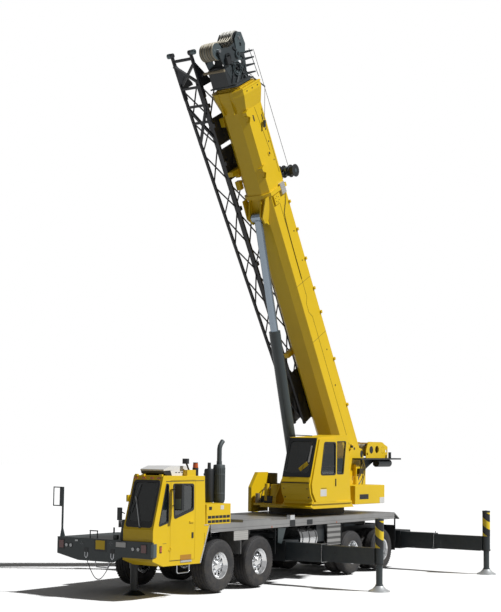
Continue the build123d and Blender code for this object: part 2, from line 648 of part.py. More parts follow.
def collar(x0, x1, level):
    """Flared end frame of a section."""
    s = level * section_step
    w, up, down, c = boom_half_w - s + 45, boom_up - s + 30, boom_down - s + 30, boom_chamfer
    out = [(-w, up), (-w, -down + c), (-w + c, -down), (w - c, -down), (w, -down + c), (w, up)]
    k = 59
    inner = [(-w + k, up - k + 15), (-w + k, -down + k - 15 + c), (-w + k + c * 0.96, -down + k - 15),
             (w - k - c * 0.96, -down + k - 15), (w - k, -down + k - 15 + c), (w - k, up - k + 15)]
    return front_plate(out, x0, x1) - front_plate(inner, x0 - 10, x1 + 10)


def boom_hollow(x0, x1):
    """Just over the space inside the base section."""
    k = boom_wall - 6
    w, c = boom_half_w - k, boom_chamfer - k * 0.4
    return front_plate([(-w, boom_up - k), (-w, -boom_down + k + c), (-w + c, -boom_down + k),
                        (w - c, -boom_down + k), (w, -boom_down + k + c), (w, boom_up - k)], x0, x1)


def mouth():
    """Flared frame round the base section's open end, tapering back into its walls."""
    def ring(k):
        w, up, down, c = boom_half_w + k, boom_up + k * 0.7, boom_down + k * 0.9, boom_chamfer + k * 0.4
        return [(-w, up), (-w, -down + c), (-w + c, -down), (w - c, -down), (w, -down + c), (w, up)]
    x1 = base_length
    wide = front_plate(ring(mouth_flare), x1 - mouth_length * 0.6, x1)
    ends = []
    for k, x in ((4, x1 - mouth_length * 2), (mouth_flare, x1 - mouth_length * 0.6)):
        ends.append(make_face(Polyline(*[(x, y, z) for y, z in ring(k)], close=True)))
    wide += loft(ends)
    return wide - boom_hollow(x1 - mouth_length * 2 - 10, x1 + 10)


def cylinder_gusset():
    """Plates that converge from the boom's full width onto the lift cylinder's top pin."""
    x0, x1 = lift_eye_along - 170, lift_eye_along + 440
    y0, y1, t = ear_in + ear_t, boom_half_w, 30
    wings = both(plan_plate([(x1, y1), (x1, y1 - t), (x0, y0 - t), (x0, y0)], -lift_eye_down - 160, -boom_down + 60))
    side = [(x0, -lift_eye_down - 40), (x0 + 190, -lift_eye_down - 150), (x1, -boom_down - 100), (x1, -boom_down + 100),
            (x0 + 60, -boom_down + 100)]
    return (wings & side_plate(side, -600, 600)) - boom_hollow(x0 - 10, x1 + 10)


def wear_pads(x1, level):
    """Slide pads inside a section's mouth, under and beside the section that runs in it."""
    s, pad = level * section_step, 250
    inner_z, run_z = -boom_down + s + boom_wall, -boom_down + s + section_step
    inner_y, run_y = boom_half_w - s - boom_wall, boom_half_w - s - section_step
    pads = block(x1 - pad, x1, -90, 90, inner_z - 1, run_z - seat)
    return pads + both(block(x1 - pad, x1, run_y + seat, inner_y + 1, 0, 200))


def boom_base():
    base = box_section(-base_tail, base_length, 0) + wear_pads(base_length, 0)
    base += mouth()
    base += collar(lift_eye_along + 420, lift_eye_along + 520, 0)
    boss = both(rod_y(0, boom_half_w - 60, boom_half_w + 20, 0, foot_boss_r))
    base += boss
    base -= rod_y(0, -boom_half_w - 40, boom_half_w + 40, 0, foot_pin_r + fit)
    # bracket that takes the lift cylinder's rod eye
    ear = side_plate([(lift_eye_along - 140, -lift_eye_down - 60), (lift_eye_along + 60, -lift_eye_down - 140),
                      (lift_eye_along + 420, -boom_down - 60), (lift_eye_along + 420, -boom_down + 20),
                      (lift_eye_along - 300, -boom_down + 20), (lift_eye_along - 160, -lift_eye_down + 20)],
                     ear_in, ear_in + ear_t)
    base += both(ear) + cylinder_gusset()
    base += rod_y(lift_eye_along, -ear_in - ear_t - 20, ear_in + ear_t + 20, -lift_eye_down, lift_pin_r)
    # jib carriers on the right side
    for x, low, high in ((3300, -545, -50), (8300, -630, 35)):
        base += block(x - 60, x + 60, -jib_near_y + seat, -boom_half_w + 5, low, high)
    return base


def inner_section(level):
    lip = section_lip * level
    x1 = base_length + lip
    shape = box_section(200 + level * 150, x1, level)
    shape += collar(x1 - section_lip + 10, x1, level)
    return shape + wear_pads(x1, level)


def boom_fly():
    """Innermost section with the yellow head frame."""
    x1 = base_length + section_lip * 3
    shape = box_section(650, x1, 3)
    return shape


def boom_head():
    """Sheave head on the fly section's end: base plate, cheeks, two sheave groups and rope guides."""
    x0 = base_length + section_lip * 3
    w = boom_half_w - 3 * section_step - 20
    cheek = [(x0 + 60, -340), (x0 + 60, 300), (x0 + 480, 420), (x0 + 940, 500), (x0 + 1130, 440), (x0 + 1150, 260),
             (x0 + 1010, 60), (x0 + 960, -120), (x0 + 1080, -440), (x0 + 1060, -640), (x0 + 900, -700), (x0 + 700, -560),
             (x0 + 350, -460)]
    head = both(side_plate(cheek, w - 24, w))
    head += block(x0, x0 + 70, -boom_half_w - 40, boom_half_w + 40, -boom_down, boom_up - 60)
    head += block(x0 + 65, x0 + 520, -w + 5, w - 5, -560, -220)
    for x, z, r, wide, ys in ((x0 + 1000, 370, 190, 60, (-150, -50, 50, 150)), (x0 + 930, -560, 215, 74, (-160, -80, 0, 80, 160))):
        head += rod_y(x, -w, w, z, 45)
        for y in ys:
            head += rod_y(x, y - wide / 2, y + wide / 2, z, r)
    for x, reach in ((x0 + 120, 700), (x0 + 360, 800), (x0 + 600, 830)):
        head += both(square_bar((x, w - 12, 250), (x - 60, w - 12, reach), 30))
        head += rod_y(x - 60, -w, w, reach, 22)
    return head


def lift_rod():
    """Rod with its eye, drawn along the cylinder with the eye at the origin."""
    closed = 300
    rod_len = lift_closed_length - closed
    shape = rod_y(0, -eye_half_w, eye_half_w, 0, eye_r)
    shape += rod_x(-rod_len, -80, 0, 0, rod_r)
    shape -= rod_y(0, -400, 400, 0, lift_pin_r + fit)
    return in_lift(shape)


def lift_barrel():
    """Barrel with its base eye."""
    length = lift_rest_length
    shape = rod_x(-length + 60, -length + barrel_length, 0, 0, barrel_r)
    shape -= rod_x(-length + 260, -length + barrel_length + 10, 0, 0, rod_r + seat)
    shape += rod_y(-length, -eye_half_w, eye_half_w, 0, 165)
    return in_lift(shape)


def boom_point(along, up):
    """World x and z of a point given along the boom and above its foot pin's line."""
    c, s = cos(radians(boom_angle)), sin(radians(boom_angle))
    return foot_x + along * c - up * s, foot_z + along * s + up * c


eye_x, eye_z = boom_point(lift_eye_along, -lift_eye_down)
lift_vector = Vector(eye_x - lift_base_x, 0, eye_z - lift_base_z)
lift_rest_length = lift_vector.length
lift_closed_length = 4900
lift_angle = lift_vector.get_angle(Vector(1, 0, 0))


def in_lift(shape):
    """A shape drawn level with the rod's eye at the origin, turned onto the cylinder's line."""
    return Location((eye_x, 0, eye_z), (0, -lift_angle, 0)) * shape


def square_bar(p, q, w):
    """Square bar between two points."""
    start, end = Vector(*p), Vector(*q)
    way = end - start
    return Plane(origin=start, z_dir=way) * Pos(0, 0, way.length / 2) * Box(w, w, way.length)


def jib():
    """Folded lattice extension carried along the boom's right side, its wide end upwards."""
    chord, lace, bays = jib_chord, 26, 11
    x0, x1 = jib_x0, jib_x1
    near = -jib_near_y - chord / 2

    def corner(x, far, high):
        k = jib_tip_share + (1 - jib_tip_share) * (x - x0) / (x1 - x0)
        return (x, near - far * jib_width * k, (high - 0.5) * jib_depth * k + jib_up)
    shape = None
    for far in (0, 1):
        for high in (0, 1):
            piece = square_bar(corner(x0, far, high), corner(x1, far, high), chord)
            shape = piece if shape is None else shape + piece
    step = (x1 - x0) / bays
    shift = 45              # neighbouring laces meet the chord a little apart
    for i in range(bays):
        xa, xb = x0 + i * step + shift, x0 + (i + 1) * step - shift
        up = i % 2
        for far in (0, 1):
            shape += square_bar(corner(xa, far, up), corner(xb, far, 1 - up), lace)
        for high in (0, 1):
            shape += square_bar(corner(xa, up, high), corner(xb, 1 - up, high), lace)
    for xa, length, sides in ((x0, 1450, (0, 1)), (x1 - 2450, 800, (0,)), (x1 - 1550, 700, (0,))):
        for far in sides:
            points = [(xa, corner(xa, far, 0)[2]), (xa, corner(xa, far, 1)[2]),
                      (xa + length, corner(xa + length, far, 1)[2]), (xa + length, corner(xa + length, far, 0)[2])]
            y = corner(xa + length / 2, far, 0)[1]
            shape += side_plate(points, y - 10, y + 10)
    for far in (0, 1):      # fork ears with their rollers
        start = corner(x1 - 60, far, 0)
        y = start[1]
        shape += side_plate([(x1 - 300, start[2] + 90), (x1 - 300, start[2] - 40), (jib_fork_x, jib_fork_up - 45),
                             (jib_fork_x, jib_fork_up + 45)], y - 20, y + 20)
        shape += rod_y(jib_fork_x, y - 45, y + 45, jib_fork_up, 60)
        shape += side_plate([(x1 - 40, start[2]), (x1 - 40, start[2] + 460), (x1 + 20, start[2] + 460), (jib_fork_x - 200, jib_fork_up + 20)],
                            y - 12, y + 12)
    shape += rod_y(jib_fork_x - 150, corner(x1, 1, 0)[1], corner(x1, 0, 0)[1], jib_fork_up + 10, 38)
    return shape


def cable_reel():
    """Length-indicator cable drum and its twin on one bracket at the boom's left top edge."""
    x, y, z = 7820, 330, boom_up + 330
    reel = rod_y(x, y - 250, y + 250, z, 125)
    for side in (-250, -90, 90, 230):
        reel += rod_y(x, y + side, y + side + 20, z, 165)
    reel += block(x - 45, x + 45, y - 40, y + 12, boom_up + seat, z - 60)
    reel += block(x - 90, x + 90, y - 60, y + 16, boom_up + seat, boom_up + 30)
    return reel


def build():
    """Every node's shape by name."""
    nodes = {}
    steer_z, drive_z = steer_tyre_r + wheel_lift, drive_tyre_r + wheel_lift
    nodes["chassis_frame"] = chassis_frame()
    nodes["front_bumper"] = front_bumper()
    nodes["front_deck"] = front_deck()
    nodes["carrier_cab"] = carrier_cab()
    nodes["carrier_cab_glass"] = carrier_cab_glass()
    nodes["carrier_seat"] = carrier_seat()
    nodes["carrier_door"] = carrier_door()
    nodes["carrier_door_glass"] = carrier_door_glass()
    nodes["engine"] = engine()
    nodes["engine_hood"] = engine_hood()
    nodes["deck"] = deck()
    nodes["exhaust"] = air_cleaner()
    nodes["side_tanks"] = side_tank()
    nodes["side_steps"] = side_steps()
    nodes["steer_axles"] = steer_axles()
    nodes["drive_axles"] = drive_axles()
    single, twin = steer_wheel(), drive_wheel()
    for side, mark in ((1, "left"), (-1, "right")):
        for i, x in enumerate(axle_x):
            n = i + 1
            if i < 2:
                k = knuckle(x, steer_z)
                nodes[f"knuckle_{n}_{mark}"] = k if side > 0 else mirror(k, about=Plane.XZ)
                nodes[f"wheel_{n}_{mark}"] = place_wheel(single, x, steer_wheel_y, steer_z, side)
            else:
                nodes[f"wheel_{n}_{mark}"] = place_wheel(twin, x, dual_outer_y, drive_z, side)
        for end, x in (("front", box_x[0]), ("rear", box_x[1])):
            xm = x + side * beam_pitch / 2
            for name, shape in (("outrigger_outer", outrigger_outer(xm)), ("outrigger_inner", outrigger_inner(xm)),
                                ("jack_foot", jack_foot(xm, jack_y, jack_tube_r, 1050))):
                nodes[f"{name}_{end}_{mark}"] = shape if side > 0 else mirror(shape, about=Plane.XZ)
    nodes["front_jack_foot"] = jack_foot(front_jack_x, 0, front_jack_r, front_jack_top)
    nodes["turntable"] = turntable()
    nodes["upper_cab"] = upper_cab()
    nodes["upper_cab_glass"] = upper_cab_glass()
    nodes["upper_seat"] = upper_seat()
    nodes["upper_door"] = upper_door()
    nodes["upper_door_glass"] = upper_door_glass()
    nodes["counterweight"] = Compound([*side_boxes().solids(), counterweight()])
    nodes["hoists"] = hoists()
    nodes["hoist_platform"] = hoist_platform()
    for name, shape in (("boom_base", boom_base()), ("boom_section_1", inner_section(1)),
                        ("boom_section_2", inner_section(2)), ("boom_fly", boom_fly()), ("boom_head", boom_head()),
                        ("jib", jib()), ("cable_reel", cable_reel())):
        nodes[name] = in_boom(shape)
    nodes["lift_rod"] = lift_rod()
    nodes["lift_barrel"] = lift_barrel()
    return nodes


os.makedirs("parts", exist_ok=True)
for node_name, node_shape in build().items():
    export_step(node_shape, f"parts/{node_name}.step")
    print(node_name)
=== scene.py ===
import bpy
import bmesh
import json
from math import sin, cos, pi, radians
from mathutils import Matrix, Vector

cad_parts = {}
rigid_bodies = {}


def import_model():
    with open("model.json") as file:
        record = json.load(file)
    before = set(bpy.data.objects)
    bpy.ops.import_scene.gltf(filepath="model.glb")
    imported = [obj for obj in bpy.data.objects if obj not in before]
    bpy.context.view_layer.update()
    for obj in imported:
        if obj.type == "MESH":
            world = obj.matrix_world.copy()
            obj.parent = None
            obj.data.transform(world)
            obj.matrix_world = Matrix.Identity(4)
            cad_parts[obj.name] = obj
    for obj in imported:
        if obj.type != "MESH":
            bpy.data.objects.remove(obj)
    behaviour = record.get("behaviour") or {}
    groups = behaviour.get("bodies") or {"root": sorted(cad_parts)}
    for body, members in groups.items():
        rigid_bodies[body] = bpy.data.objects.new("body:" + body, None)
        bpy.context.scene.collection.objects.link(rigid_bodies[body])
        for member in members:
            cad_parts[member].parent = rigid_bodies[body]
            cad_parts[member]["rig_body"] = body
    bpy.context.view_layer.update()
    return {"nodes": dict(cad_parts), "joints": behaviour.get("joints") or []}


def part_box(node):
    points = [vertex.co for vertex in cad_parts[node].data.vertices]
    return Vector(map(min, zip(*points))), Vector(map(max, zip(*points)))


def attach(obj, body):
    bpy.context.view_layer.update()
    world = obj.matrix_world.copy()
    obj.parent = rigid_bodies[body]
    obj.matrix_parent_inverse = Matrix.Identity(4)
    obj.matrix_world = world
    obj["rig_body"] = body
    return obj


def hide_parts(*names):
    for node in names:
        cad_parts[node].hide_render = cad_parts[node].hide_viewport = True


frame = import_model()
nodes = frame["nodes"]
joints = {j["name"]: j for j in frame["joints"]}
print("frame loaded:", len(nodes), "nodes")


# places that the frame gives: first axle, slewing axis, boom foot and the boom's own direction
def middle(node):
    low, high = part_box(node)
    return (low + high) / 2


axleX = [middle(f"wheel_{n}_left").x for n in (1, 2, 3, 4)]
axleOne = axleX[0]
slewX = joints["slew"]["pos_m"][0]
boomFoot = Vector(joints["boom_lift"]["pos_m"])
boomAlong = Vector(joints["telescope_1"]["axis"]).normalized()
boomUp = Vector((-boomAlong.z, 0, boomAlong.x))
boomPlace = Matrix(((boomAlong.x, 0, boomUp.x, boomFoot.x), (0, 1, 0, 0),
                    (boomAlong.z, 0, boomUp.z, boomFoot.z), (0, 0, 0, 1)))


# shader groups shared by the finishes
def newGroup(name, inputs, outputs):
    group = bpy.data.node_groups.new(name, "ShaderNodeTree")
    for label, kind, value in inputs:
        socket = group.interface.new_socket(label, in_out="INPUT", socket_type=kind)
        socket.default_value = value
    for label, kind in outputs:
        group.interface.new_socket(label, in_out="OUTPUT", socket_type=kind)
    return group, group.nodes.new("NodeGroupInput"), group.nodes.new("NodeGroupOutput")


def mathNode(tree, operation, first, second=None, clamp=False):
    node = tree.nodes.new("ShaderNodeMath")
    node.operation, node.use_clamp = operation, clamp
    for socket, value in ((node.inputs[0], first), (node.inputs[1], second)):
        if isinstance(value, (int, float)):
            socket.default_value = value
        elif value is not None:
            tree.links.new(value, socket)
    return node.outputs[0]


def mixColour(tree, share, first, second):
    node = tree.nodes.new("ShaderNodeMix")
    node.data_type = "RGBA"
    for socket, value in ((node.inputs[0], share), (node.inputs[6], first), (node.inputs[7], second)):
        if isinstance(value, (int, float, tuple)):
            socket.default_value = value
        else:
            tree.links.new(value, socket)
    return node.outputs[2]


def noiseOf(tree, vector, scale, detail=3.0, roughness=0.55):
    node = tree.nodes.new("ShaderNodeTexNoise")
    node.inputs["Detail"].default_value = detail
    node.inputs["Roughness"].default_value = roughness
    if isinstance(scale, (int, float)):
        node.inputs["Scale"].default_value = scale
    else:
        tree.links.new(scale, node.inputs["Scale"])
    tree.links.new(vector, node.inputs["Vector"])
    return node.outputs["Fac"]


def rangeOf(tree, value, low, high, outLow=0.0, outHigh=1.0):
    node = tree.nodes.new("ShaderNodeMapRange")
    node.clamp = True
    for i, v in enumerate((value, low, high, outLow, outHigh)):
        if isinstance(v, (int, float)):
            node.inputs[i].default_value = v
        else:
            tree.links.new(v, node.inputs[i])
    return node.outputs[0]


def makeWeathering():
    # colour drift, dust that gathers low down, and a fine grain for bump and roughness
    group, gin, gout = newGroup("weathering",
                                [("Paint", "NodeSocketColor", (1, 1, 1, 1)),
                                 ("Dust", "NodeSocketColor", (0.2, 0.17, 0.13, 1)),
                                 ("Dust Amount", "NodeSocketFloat", 0.2), ("Drift", "NodeSocketFloat", 0.1),
                                 ("Grain", "NodeSocketFloat", 30.0), ("Rough Low", "NodeSocketFloat", 0.3),
                                 ("Rough High", "NodeSocketFloat", 0.5)],
                                [("Colour", "NodeSocketColor"), ("Roughness", "NodeSocketFloat"),
                                 ("Height", "NodeSocketFloat")])
    place = group.nodes.new("ShaderNodeTexCoord").outputs["Object"]
    broad = noiseOf(group, place, 1.3, 4.0)
    fine = noiseOf(group, place, gin.outputs["Grain"], 5.0, 0.65)
    split = group.nodes.new("ShaderNodeSeparateXYZ")
    group.links.new(place, split.inputs[0])
    low = rangeOf(group, split.outputs["Z"], 0.2, 1.6, 1.0, 0.12)
    patches = rangeOf(group, noiseOf(group, place, 6.0, 6.0, 0.7), 0.42, 0.72)
    settled = mathNode(group, "MULTIPLY", patches, low)
    dust = mathNode(group, "MULTIPLY", settled, gin.outputs["Dust Amount"], True)
    shade = mathNode(group, "MULTIPLY", rangeOf(group, broad, 0.3, 0.7), gin.outputs["Drift"])
    darker = mixColour(group, shade, gin.outputs["Paint"], (0.0, 0.0, 0.0, 1))
    group.links.new(mixColour(group, dust, darker, gin.outputs["Dust"]), gout.inputs["Colour"])
    worn = mathNode(group, "ADD", fine, mathNode(group, "MULTIPLY", dust, 0.5))
    rough = rangeOf(group, worn, 0.3, 0.9, gin.outputs["Rough Low"], gin.outputs["Rough High"])
    group.links.new(rough, gout.inputs["Roughness"])
    group.links.new(fine, gout.inputs["Height"])
    return group


def makeLines():
    # narrow repeated lines or raised bars across one direction
    group, gin, gout = newGroup("lines",
                                [("Direction", "NodeSocketVector", (1, 0, 0)),
                                 ("Pitch", "NodeSocketFloat", 0.1), ("Width", "NodeSocketFloat", 0.1)],
                                [("Mask", "NodeSocketFloat")])
    place = group.nodes.new("ShaderNodeTexCoord").outputs["Object"]
    dot = group.nodes.new("ShaderNodeVectorMath")
    dot.operation = "DOT_PRODUCT"
    group.links.new(place, dot.inputs[0])
    group.links.new(gin.outputs["Direction"], dot.inputs[1])
    turns = mathNode(group, "FRACT", mathNode(group, "DIVIDE", dot.outputs["Value"], gin.outputs["Pitch"]))
    edge = mathNode(group, "ABSOLUTE", mathNode(group, "SUBTRACT", turns, 0.5))
    half = mathNode(group, "MULTIPLY", gin.outputs["Width"], 0.5)
    group.links.new(mathNode(group, "LESS_THAN", edge, half), gout.inputs["Mask"])
    return group


weathering, lines = makeWeathering(), makeLines()
finishes = []                                                 # every finish, in the order it is made


def finish(name, paint, low=0.35, high=0.55, metallic=0.0, coat=0.0, dust=0.2, drift=0.08, grain=30.0,
           bump=0.15):
    # a painted, moulded or metal finish from the weathering group
    material = bpy.data.materials.new(name)
    material.use_nodes = True
    tree = material.node_tree
    shader = tree.nodes["Principled BSDF"]
    wear = tree.nodes.new("ShaderNodeGroup")
    wear.node_tree = weathering
    for label, value in (("Paint", (*paint, 1)), ("Dust Amount", dust), ("Drift", drift), ("Grain", grain),
                         ("Rough Low", low), ("Rough High", high)):
        wear.inputs[label].default_value = value
    raised = tree.nodes.new("ShaderNodeBump")
    raised.inputs["Strength"].default_value = bump
    raised.inputs["Distance"].default_value = 0.002
    tree.links.new(wear.outputs["Height"], raised.inputs["Height"])
    tree.links.new(wear.outputs["Colour"], shader.inputs["Base Color"])
    tree.links.new(wear.outputs["Roughness"], shader.inputs["Roughness"])
    tree.links.new(raised.outputs["Normal"], shader.inputs["Normal"])
    shader.inputs["Metallic"].default_value = metallic
    shader.inputs["Coat Weight"].default_value = coat
    shader.inputs["Coat Roughness"].default_value = 0.15
    finishes.append(material)
    return material


def striped(material, direction, pitch, width, colour, share=1.0, relief=0.0):
    # lays a lines mask over a finish, as paint or as relief
    tree = material.node_tree
    shader = tree.nodes["Principled BSDF"]
    bars = tree.nodes.new("ShaderNodeGroup")
    bars.node_tree = lines
    bars.inputs["Direction"].default_value = direction
    bars.inputs["Pitch"].default_value = pitch
    bars.inputs["Width"].default_value = width
    under = shader.inputs["Base Color"].links[0].from_socket
    over = mathNode(tree, "MULTIPLY", bars.outputs["Mask"], share)
    tree.links.new(mixColour(tree, over, under, (*colour, 1)), shader.inputs["Base Color"])
    if relief:
        raised = shader.inputs["Normal"].links[0].from_node
        under = raised.inputs["Height"].links[0].from_socket
        lifted = mathNode(tree, "MULTIPLY", bars.outputs["Mask"], relief)
        tree.links.new(mathNode(tree, "ADD", under, lifted), raised.inputs["Height"])


yellow = finish("craneYellow", (0.70, 0.470, 0.004), 0.40, 0.54, coat=0.04, dust=0.05, drift=0.05, grain=60,
                bump=0.05)
darkFrame = finish("frameBlack", (0.011, 0.015, 0.018), 0.4, 0.6, coat=0.05, dust=0.14, grain=24)
beamPaint = finish("beamGrey", (0.014, 0.021, 0.025), 0.38, 0.55, coat=0.1, dust=0.10, grain=20)
bumperPaint = finish("bumperGrey", (0.020, 0.030, 0.032), 0.4, 0.55, coat=0.1, dust=0.08)
headGrey = finish("headGrey", (0.022, 0.030, 0.034), 0.4, 0.6, coat=0.1, dust=0.05)
cylinderGrey = finish("cylinderGrey", (0.030, 0.042, 0.045), 0.35, 0.5, coat=0.2, dust=0.04)
jibBlack = finish("jibBlack", (0.006, 0.007, 0.010), 0.42, 0.6, coat=0.1, dust=0.02)
rubber = finish("blackRubber", (0.012, 0.012, 0.013), 0.55, 0.75, dust=0.1, grain=80)
tyre = finish("tyreRubber", (0.020, 0.020, 0.022), 0.65, 0.85, dust=0.25, grain=50, bump=0.3)
plastic = finish("darkPlastic", (0.010, 0.012, 0.014), 0.42, 0.58, dust=0.05, grain=120)
exhaustGrey = finish("exhaustGrey", (0.060, 0.072, 0.076), 0.5, 0.75, metallic=0.3, dust=0.06, grain=40,
                     bump=0.25)
iron = finish("castIron", (0.035, 0.035, 0.038), 0.55, 0.8, metallic=0.3, dust=0.25, grain=60, bump=0.5)
steel = finish("brightSteel", (0.42, 0.43, 0.45), 0.2, 0.35, metallic=0.9, dust=0.05, grain=50)
rodSteel = finish("rodSteel", (0.30, 0.36, 0.42), 0.16, 0.28, metallic=0.85, dust=0.02)
alloy = finish("polishedAlloy", (0.80, 0.81, 0.82), 0.14, 0.26, metallic=1.0, dust=0.04, grain=25, bump=0.05)
tankMetal = finish("tankAluminium", (0.70, 0.71, 0.72), 0.12, 0.3, metallic=1.0, dust=0.05, grain=12)
floatMetal = finish("floatAluminium", (0.60, 0.62, 0.63), 0.3, 0.5, metallic=0.6, dust=0.15)
white = finish("whiteShell", (0.66, 0.66, 0.65), 0.35, 0.5, dust=0.06)
label = finish("blankLabel", (0.60, 0.60, 0.58), 0.4, 0.5, dust=0.08)
redLamp = finish("redLens", (0.14, 0.008, 0.008), 0.12, 0.2, coat=0.6, dust=0.0)
amberLamp = finish("amberLens", (0.50, 0.09, 0.01), 0.12, 0.2, coat=0.6, dust=0.0)
clearLamp = finish("clearLens", (0.62, 0.65, 0.66), 0.08, 0.15, coat=0.8, dust=0.0)
rope = finish("creamRope", (0.42, 0.39, 0.31), 0.5, 0.7, metallic=0.2, dust=0.1, grain=200, bump=0.4)
wire = finish("wireRope", (0.10, 0.10, 0.10), 0.4, 0.6, metallic=0.5, dust=0.0)
nylon = finish("sheaveNylon", (0.62, 0.61, 0.56), 0.4, 0.55, dust=0.08)
hose = finish("hoseRubber", (0.015, 0.015, 0.016), 0.45, 0.6, dust=0.1)
seatCloth = finish("seatFabric", (0.03, 0.032, 0.036), 0.75, 0.9, dust=0.05, grain=300, bump=0.6)
orangeTape = finish("cableLabel", (0.42, 0.20, 0.015), 0.4, 0.5, dust=0.05)
hazard = finish("hazardStripes", (0.80, 0.58, 0.02), 0.35, 0.5, dust=0.1)
striped(hazard, (0.0, 0.62, 0.78), 0.30, 0.5, (0.012, 0.013, 0.015))
tanRope = finish("tanRope", (0.24, 0.20, 0.13), 0.5, 0.7, metallic=0.2, dust=0.05, grain=200, bump=0.4)
steelGrey = finish("greySteel", (0.10, 0.13, 0.14), 0.35, 0.5, metallic=0.5, dust=0.04)
# dark brown-black for seams and small dark marks, and painted shade on the slew ring's skirt and the wall
# across the upper
seamDarkAndPaintedShade = finish("seamAndPaintedShade", (0.03, 0.022, 0.004), 0.6, 0.8, dust=0.0)
deckMetal = finish("deckAluminium", (0.35, 0.35, 0.345), 0.3, 0.5, metallic=0.55, dust=0.25, drift=0.25,
                   grain=9, bump=0.2)
striped(deckMetal, (0.0, 1.0, 1.0), 0.145, 0.07, (0.12, 0.12, 0.12), 0.75, -2.0)
striped(deckMetal, (0.707, 0.707, 0.0), 0.03, 0.35, (0.6, 0.6, 0.6), 0.18, 1.2)
stepMetal = finish("stepAluminium", (0.58, 0.57, 0.54), 0.3, 0.5, metallic=0.5, dust=0.15, grain=14)
striped(stepMetal, (0.0, 0.0, 1.0), 0.045, 0.25, (0.30, 0.30, 0.30), 0.5, -1.5)
stepPanel = finish("stepPanel", (0.40, 0.40, 0.39), 0.3, 0.5, metallic=0.5, dust=0.15, grain=14)
striped(stepPanel, (0.0, 0.0, 1.0), 0.13, 0.45, (0.05, 0.05, 0.05), 0.8, -1.5)


def glassFinish(name, tint, cover):
    # dark smooth pane that lets a share of the light through
    material = bpy.data.materials.new(name)
    material.use_nodes = True
    shader = material.node_tree.nodes["Principled BSDF"]
    shader.inputs["Base Color"].default_value = (*tint, 1)
    shader.inputs["Roughness"].default_value = 0.04
    shader.inputs["Alpha"].default_value = cover
    shader.inputs["Coat Weight"].default_value = 1.0
    shader.inputs["Coat Roughness"].default_value = 0.02
    finishes.append(material)
    return material


glass = glassFinish("tintedGlass", (0.006, 0.011, 0.012), 0.84)
paleGlass = glassFinish("paleGlass", (0.03, 0.05, 0.05), 0.30)
print("finishes made")


# shape helpers: everything is drawn in metres in the crane's own frame
def paint(shape, look=None):
    # faces without a tag are new ones; 0 leaves the finish to the whole piece
    number = finishes.index(look) + 1 if look else 0
    for face in shape.faces:
        if not face.tag:
            face.tag = True
            face.material_index = number


def addBlock(shape, low, high, look=None):
    low, high = Vector(low), Vector(high)
    size = high - low
    bmesh.ops.create_cube(shape, size=1,
                          matrix=Matrix.Translation((low + high) / 2) @ Matrix.Diagonal((*size, 1)))
    paint(shape, look)


def addBlocks(shape, origin, rows):
    # rows of low corner, high corner and finish (none: the piece's own), measured from one origin
    for low, high, look in rows:
        addBlock(shape, [o + v for o, v in zip(origin, low)], [o + v for o, v in zip(origin, high)], look)


def addRod(shape, start, end, radius, tip=None, sides=20, look=None):
    start, end = Vector(start), Vector(end)
    turn = (end - start).to_track_quat("Z", "Y").to_matrix().to_4x4()
    bmesh.ops.create_cone(shape, cap_ends=True, segments=sides, radius1=radius,
                          radius2=radius if tip is None else tip, depth=(end - start).length,
                          matrix=Matrix.Translation((start + end) / 2) @ turn)
    paint(shape, look)


def addBar(shape, start, end, width, height=None, look=None):
    # rectangular bar between two points
    start, end = Vector(start), Vector(end)
    turn = (end - start).to_track_quat("Z", "Y").to_matrix().to_4x4()
    bmesh.ops.create_cube(shape, size=1, matrix=Matrix.Translation((start + end) / 2) @ turn @
                          Matrix.Diagonal((width, height or width, (end - start).length, 1)))
    paint(shape, look)


alongX, alongY, alongZ = (1, 0, 0), (0, 1, 0), (0, 0, 1)
axisPoint = {"x": lambda a, b, t: (t, a, b), "y": lambda a, b, t: (a, t, b), "z": lambda a, b, t: (a, b, t)}


def addPanel(shape, corners, at, low, high, look=None):
    # flat plate of any outline on a mapped surface
    first = [shape.verts.new(at(a, b, low)) for a, b in corners]
    last = [shape.verts.new(at(a, b, high)) for a, b in corners]
    shape.faces.new(first)
    shape.faces.new(last[::-1])
    for i in range(len(first)):
        j = (i + 1) % len(first)
        shape.faces.new((first[i], first[j], last[j], last[i]))
    paint(shape, look)


def addPrism(shape, outline, axis, low, high, look=None):
    # outline drawn across one axis and drawn out along it
    addPanel(shape, outline, axisPoint[axis], low, high, look)


def addTurned(shape, profile, centre, axis, steps=48, closed=False, look=None):
    # profile points are (along the axis, radius); a radius of 0 closes on the axis
    axis, centre = Vector(axis).normalized(), Vector(centre)
    side = axis.orthogonal().normalized()
    other = axis.cross(side)
    rings = []
    for along, radius in profile:
        if radius < 1e-6:
            rings.append([shape.verts.new(centre + axis * along)])
        else:
            rings.append([shape.verts.new(centre + axis * along + (side * cos(a) + other * sin(a)) * radius)
                          for a in (2 * pi * k / steps for k in range(steps))])
    pairs = list(zip(rings, rings[1:])) + ([(rings[-1], rings[0])] if closed else [])
    for one, two in pairs:
        for k in range(steps):
            j = (k + 1) % steps
            corners = [one[k % len(one)], one[j % len(one)], two[j % len(two)], two[k % len(two)]]
            unique = list(dict.fromkeys(corners))
            if len(unique) > 2:
                shape.faces.new(unique)
    paint(shape, look)


def addMesh(shape, mesh, place=None, look=None):
    spare = mesh.copy()
    if place is not None:
        spare.transform(place)
    shape.from_mesh(spare)
    bpy.data.meshes.remove(spare)
    paint(shape, look)


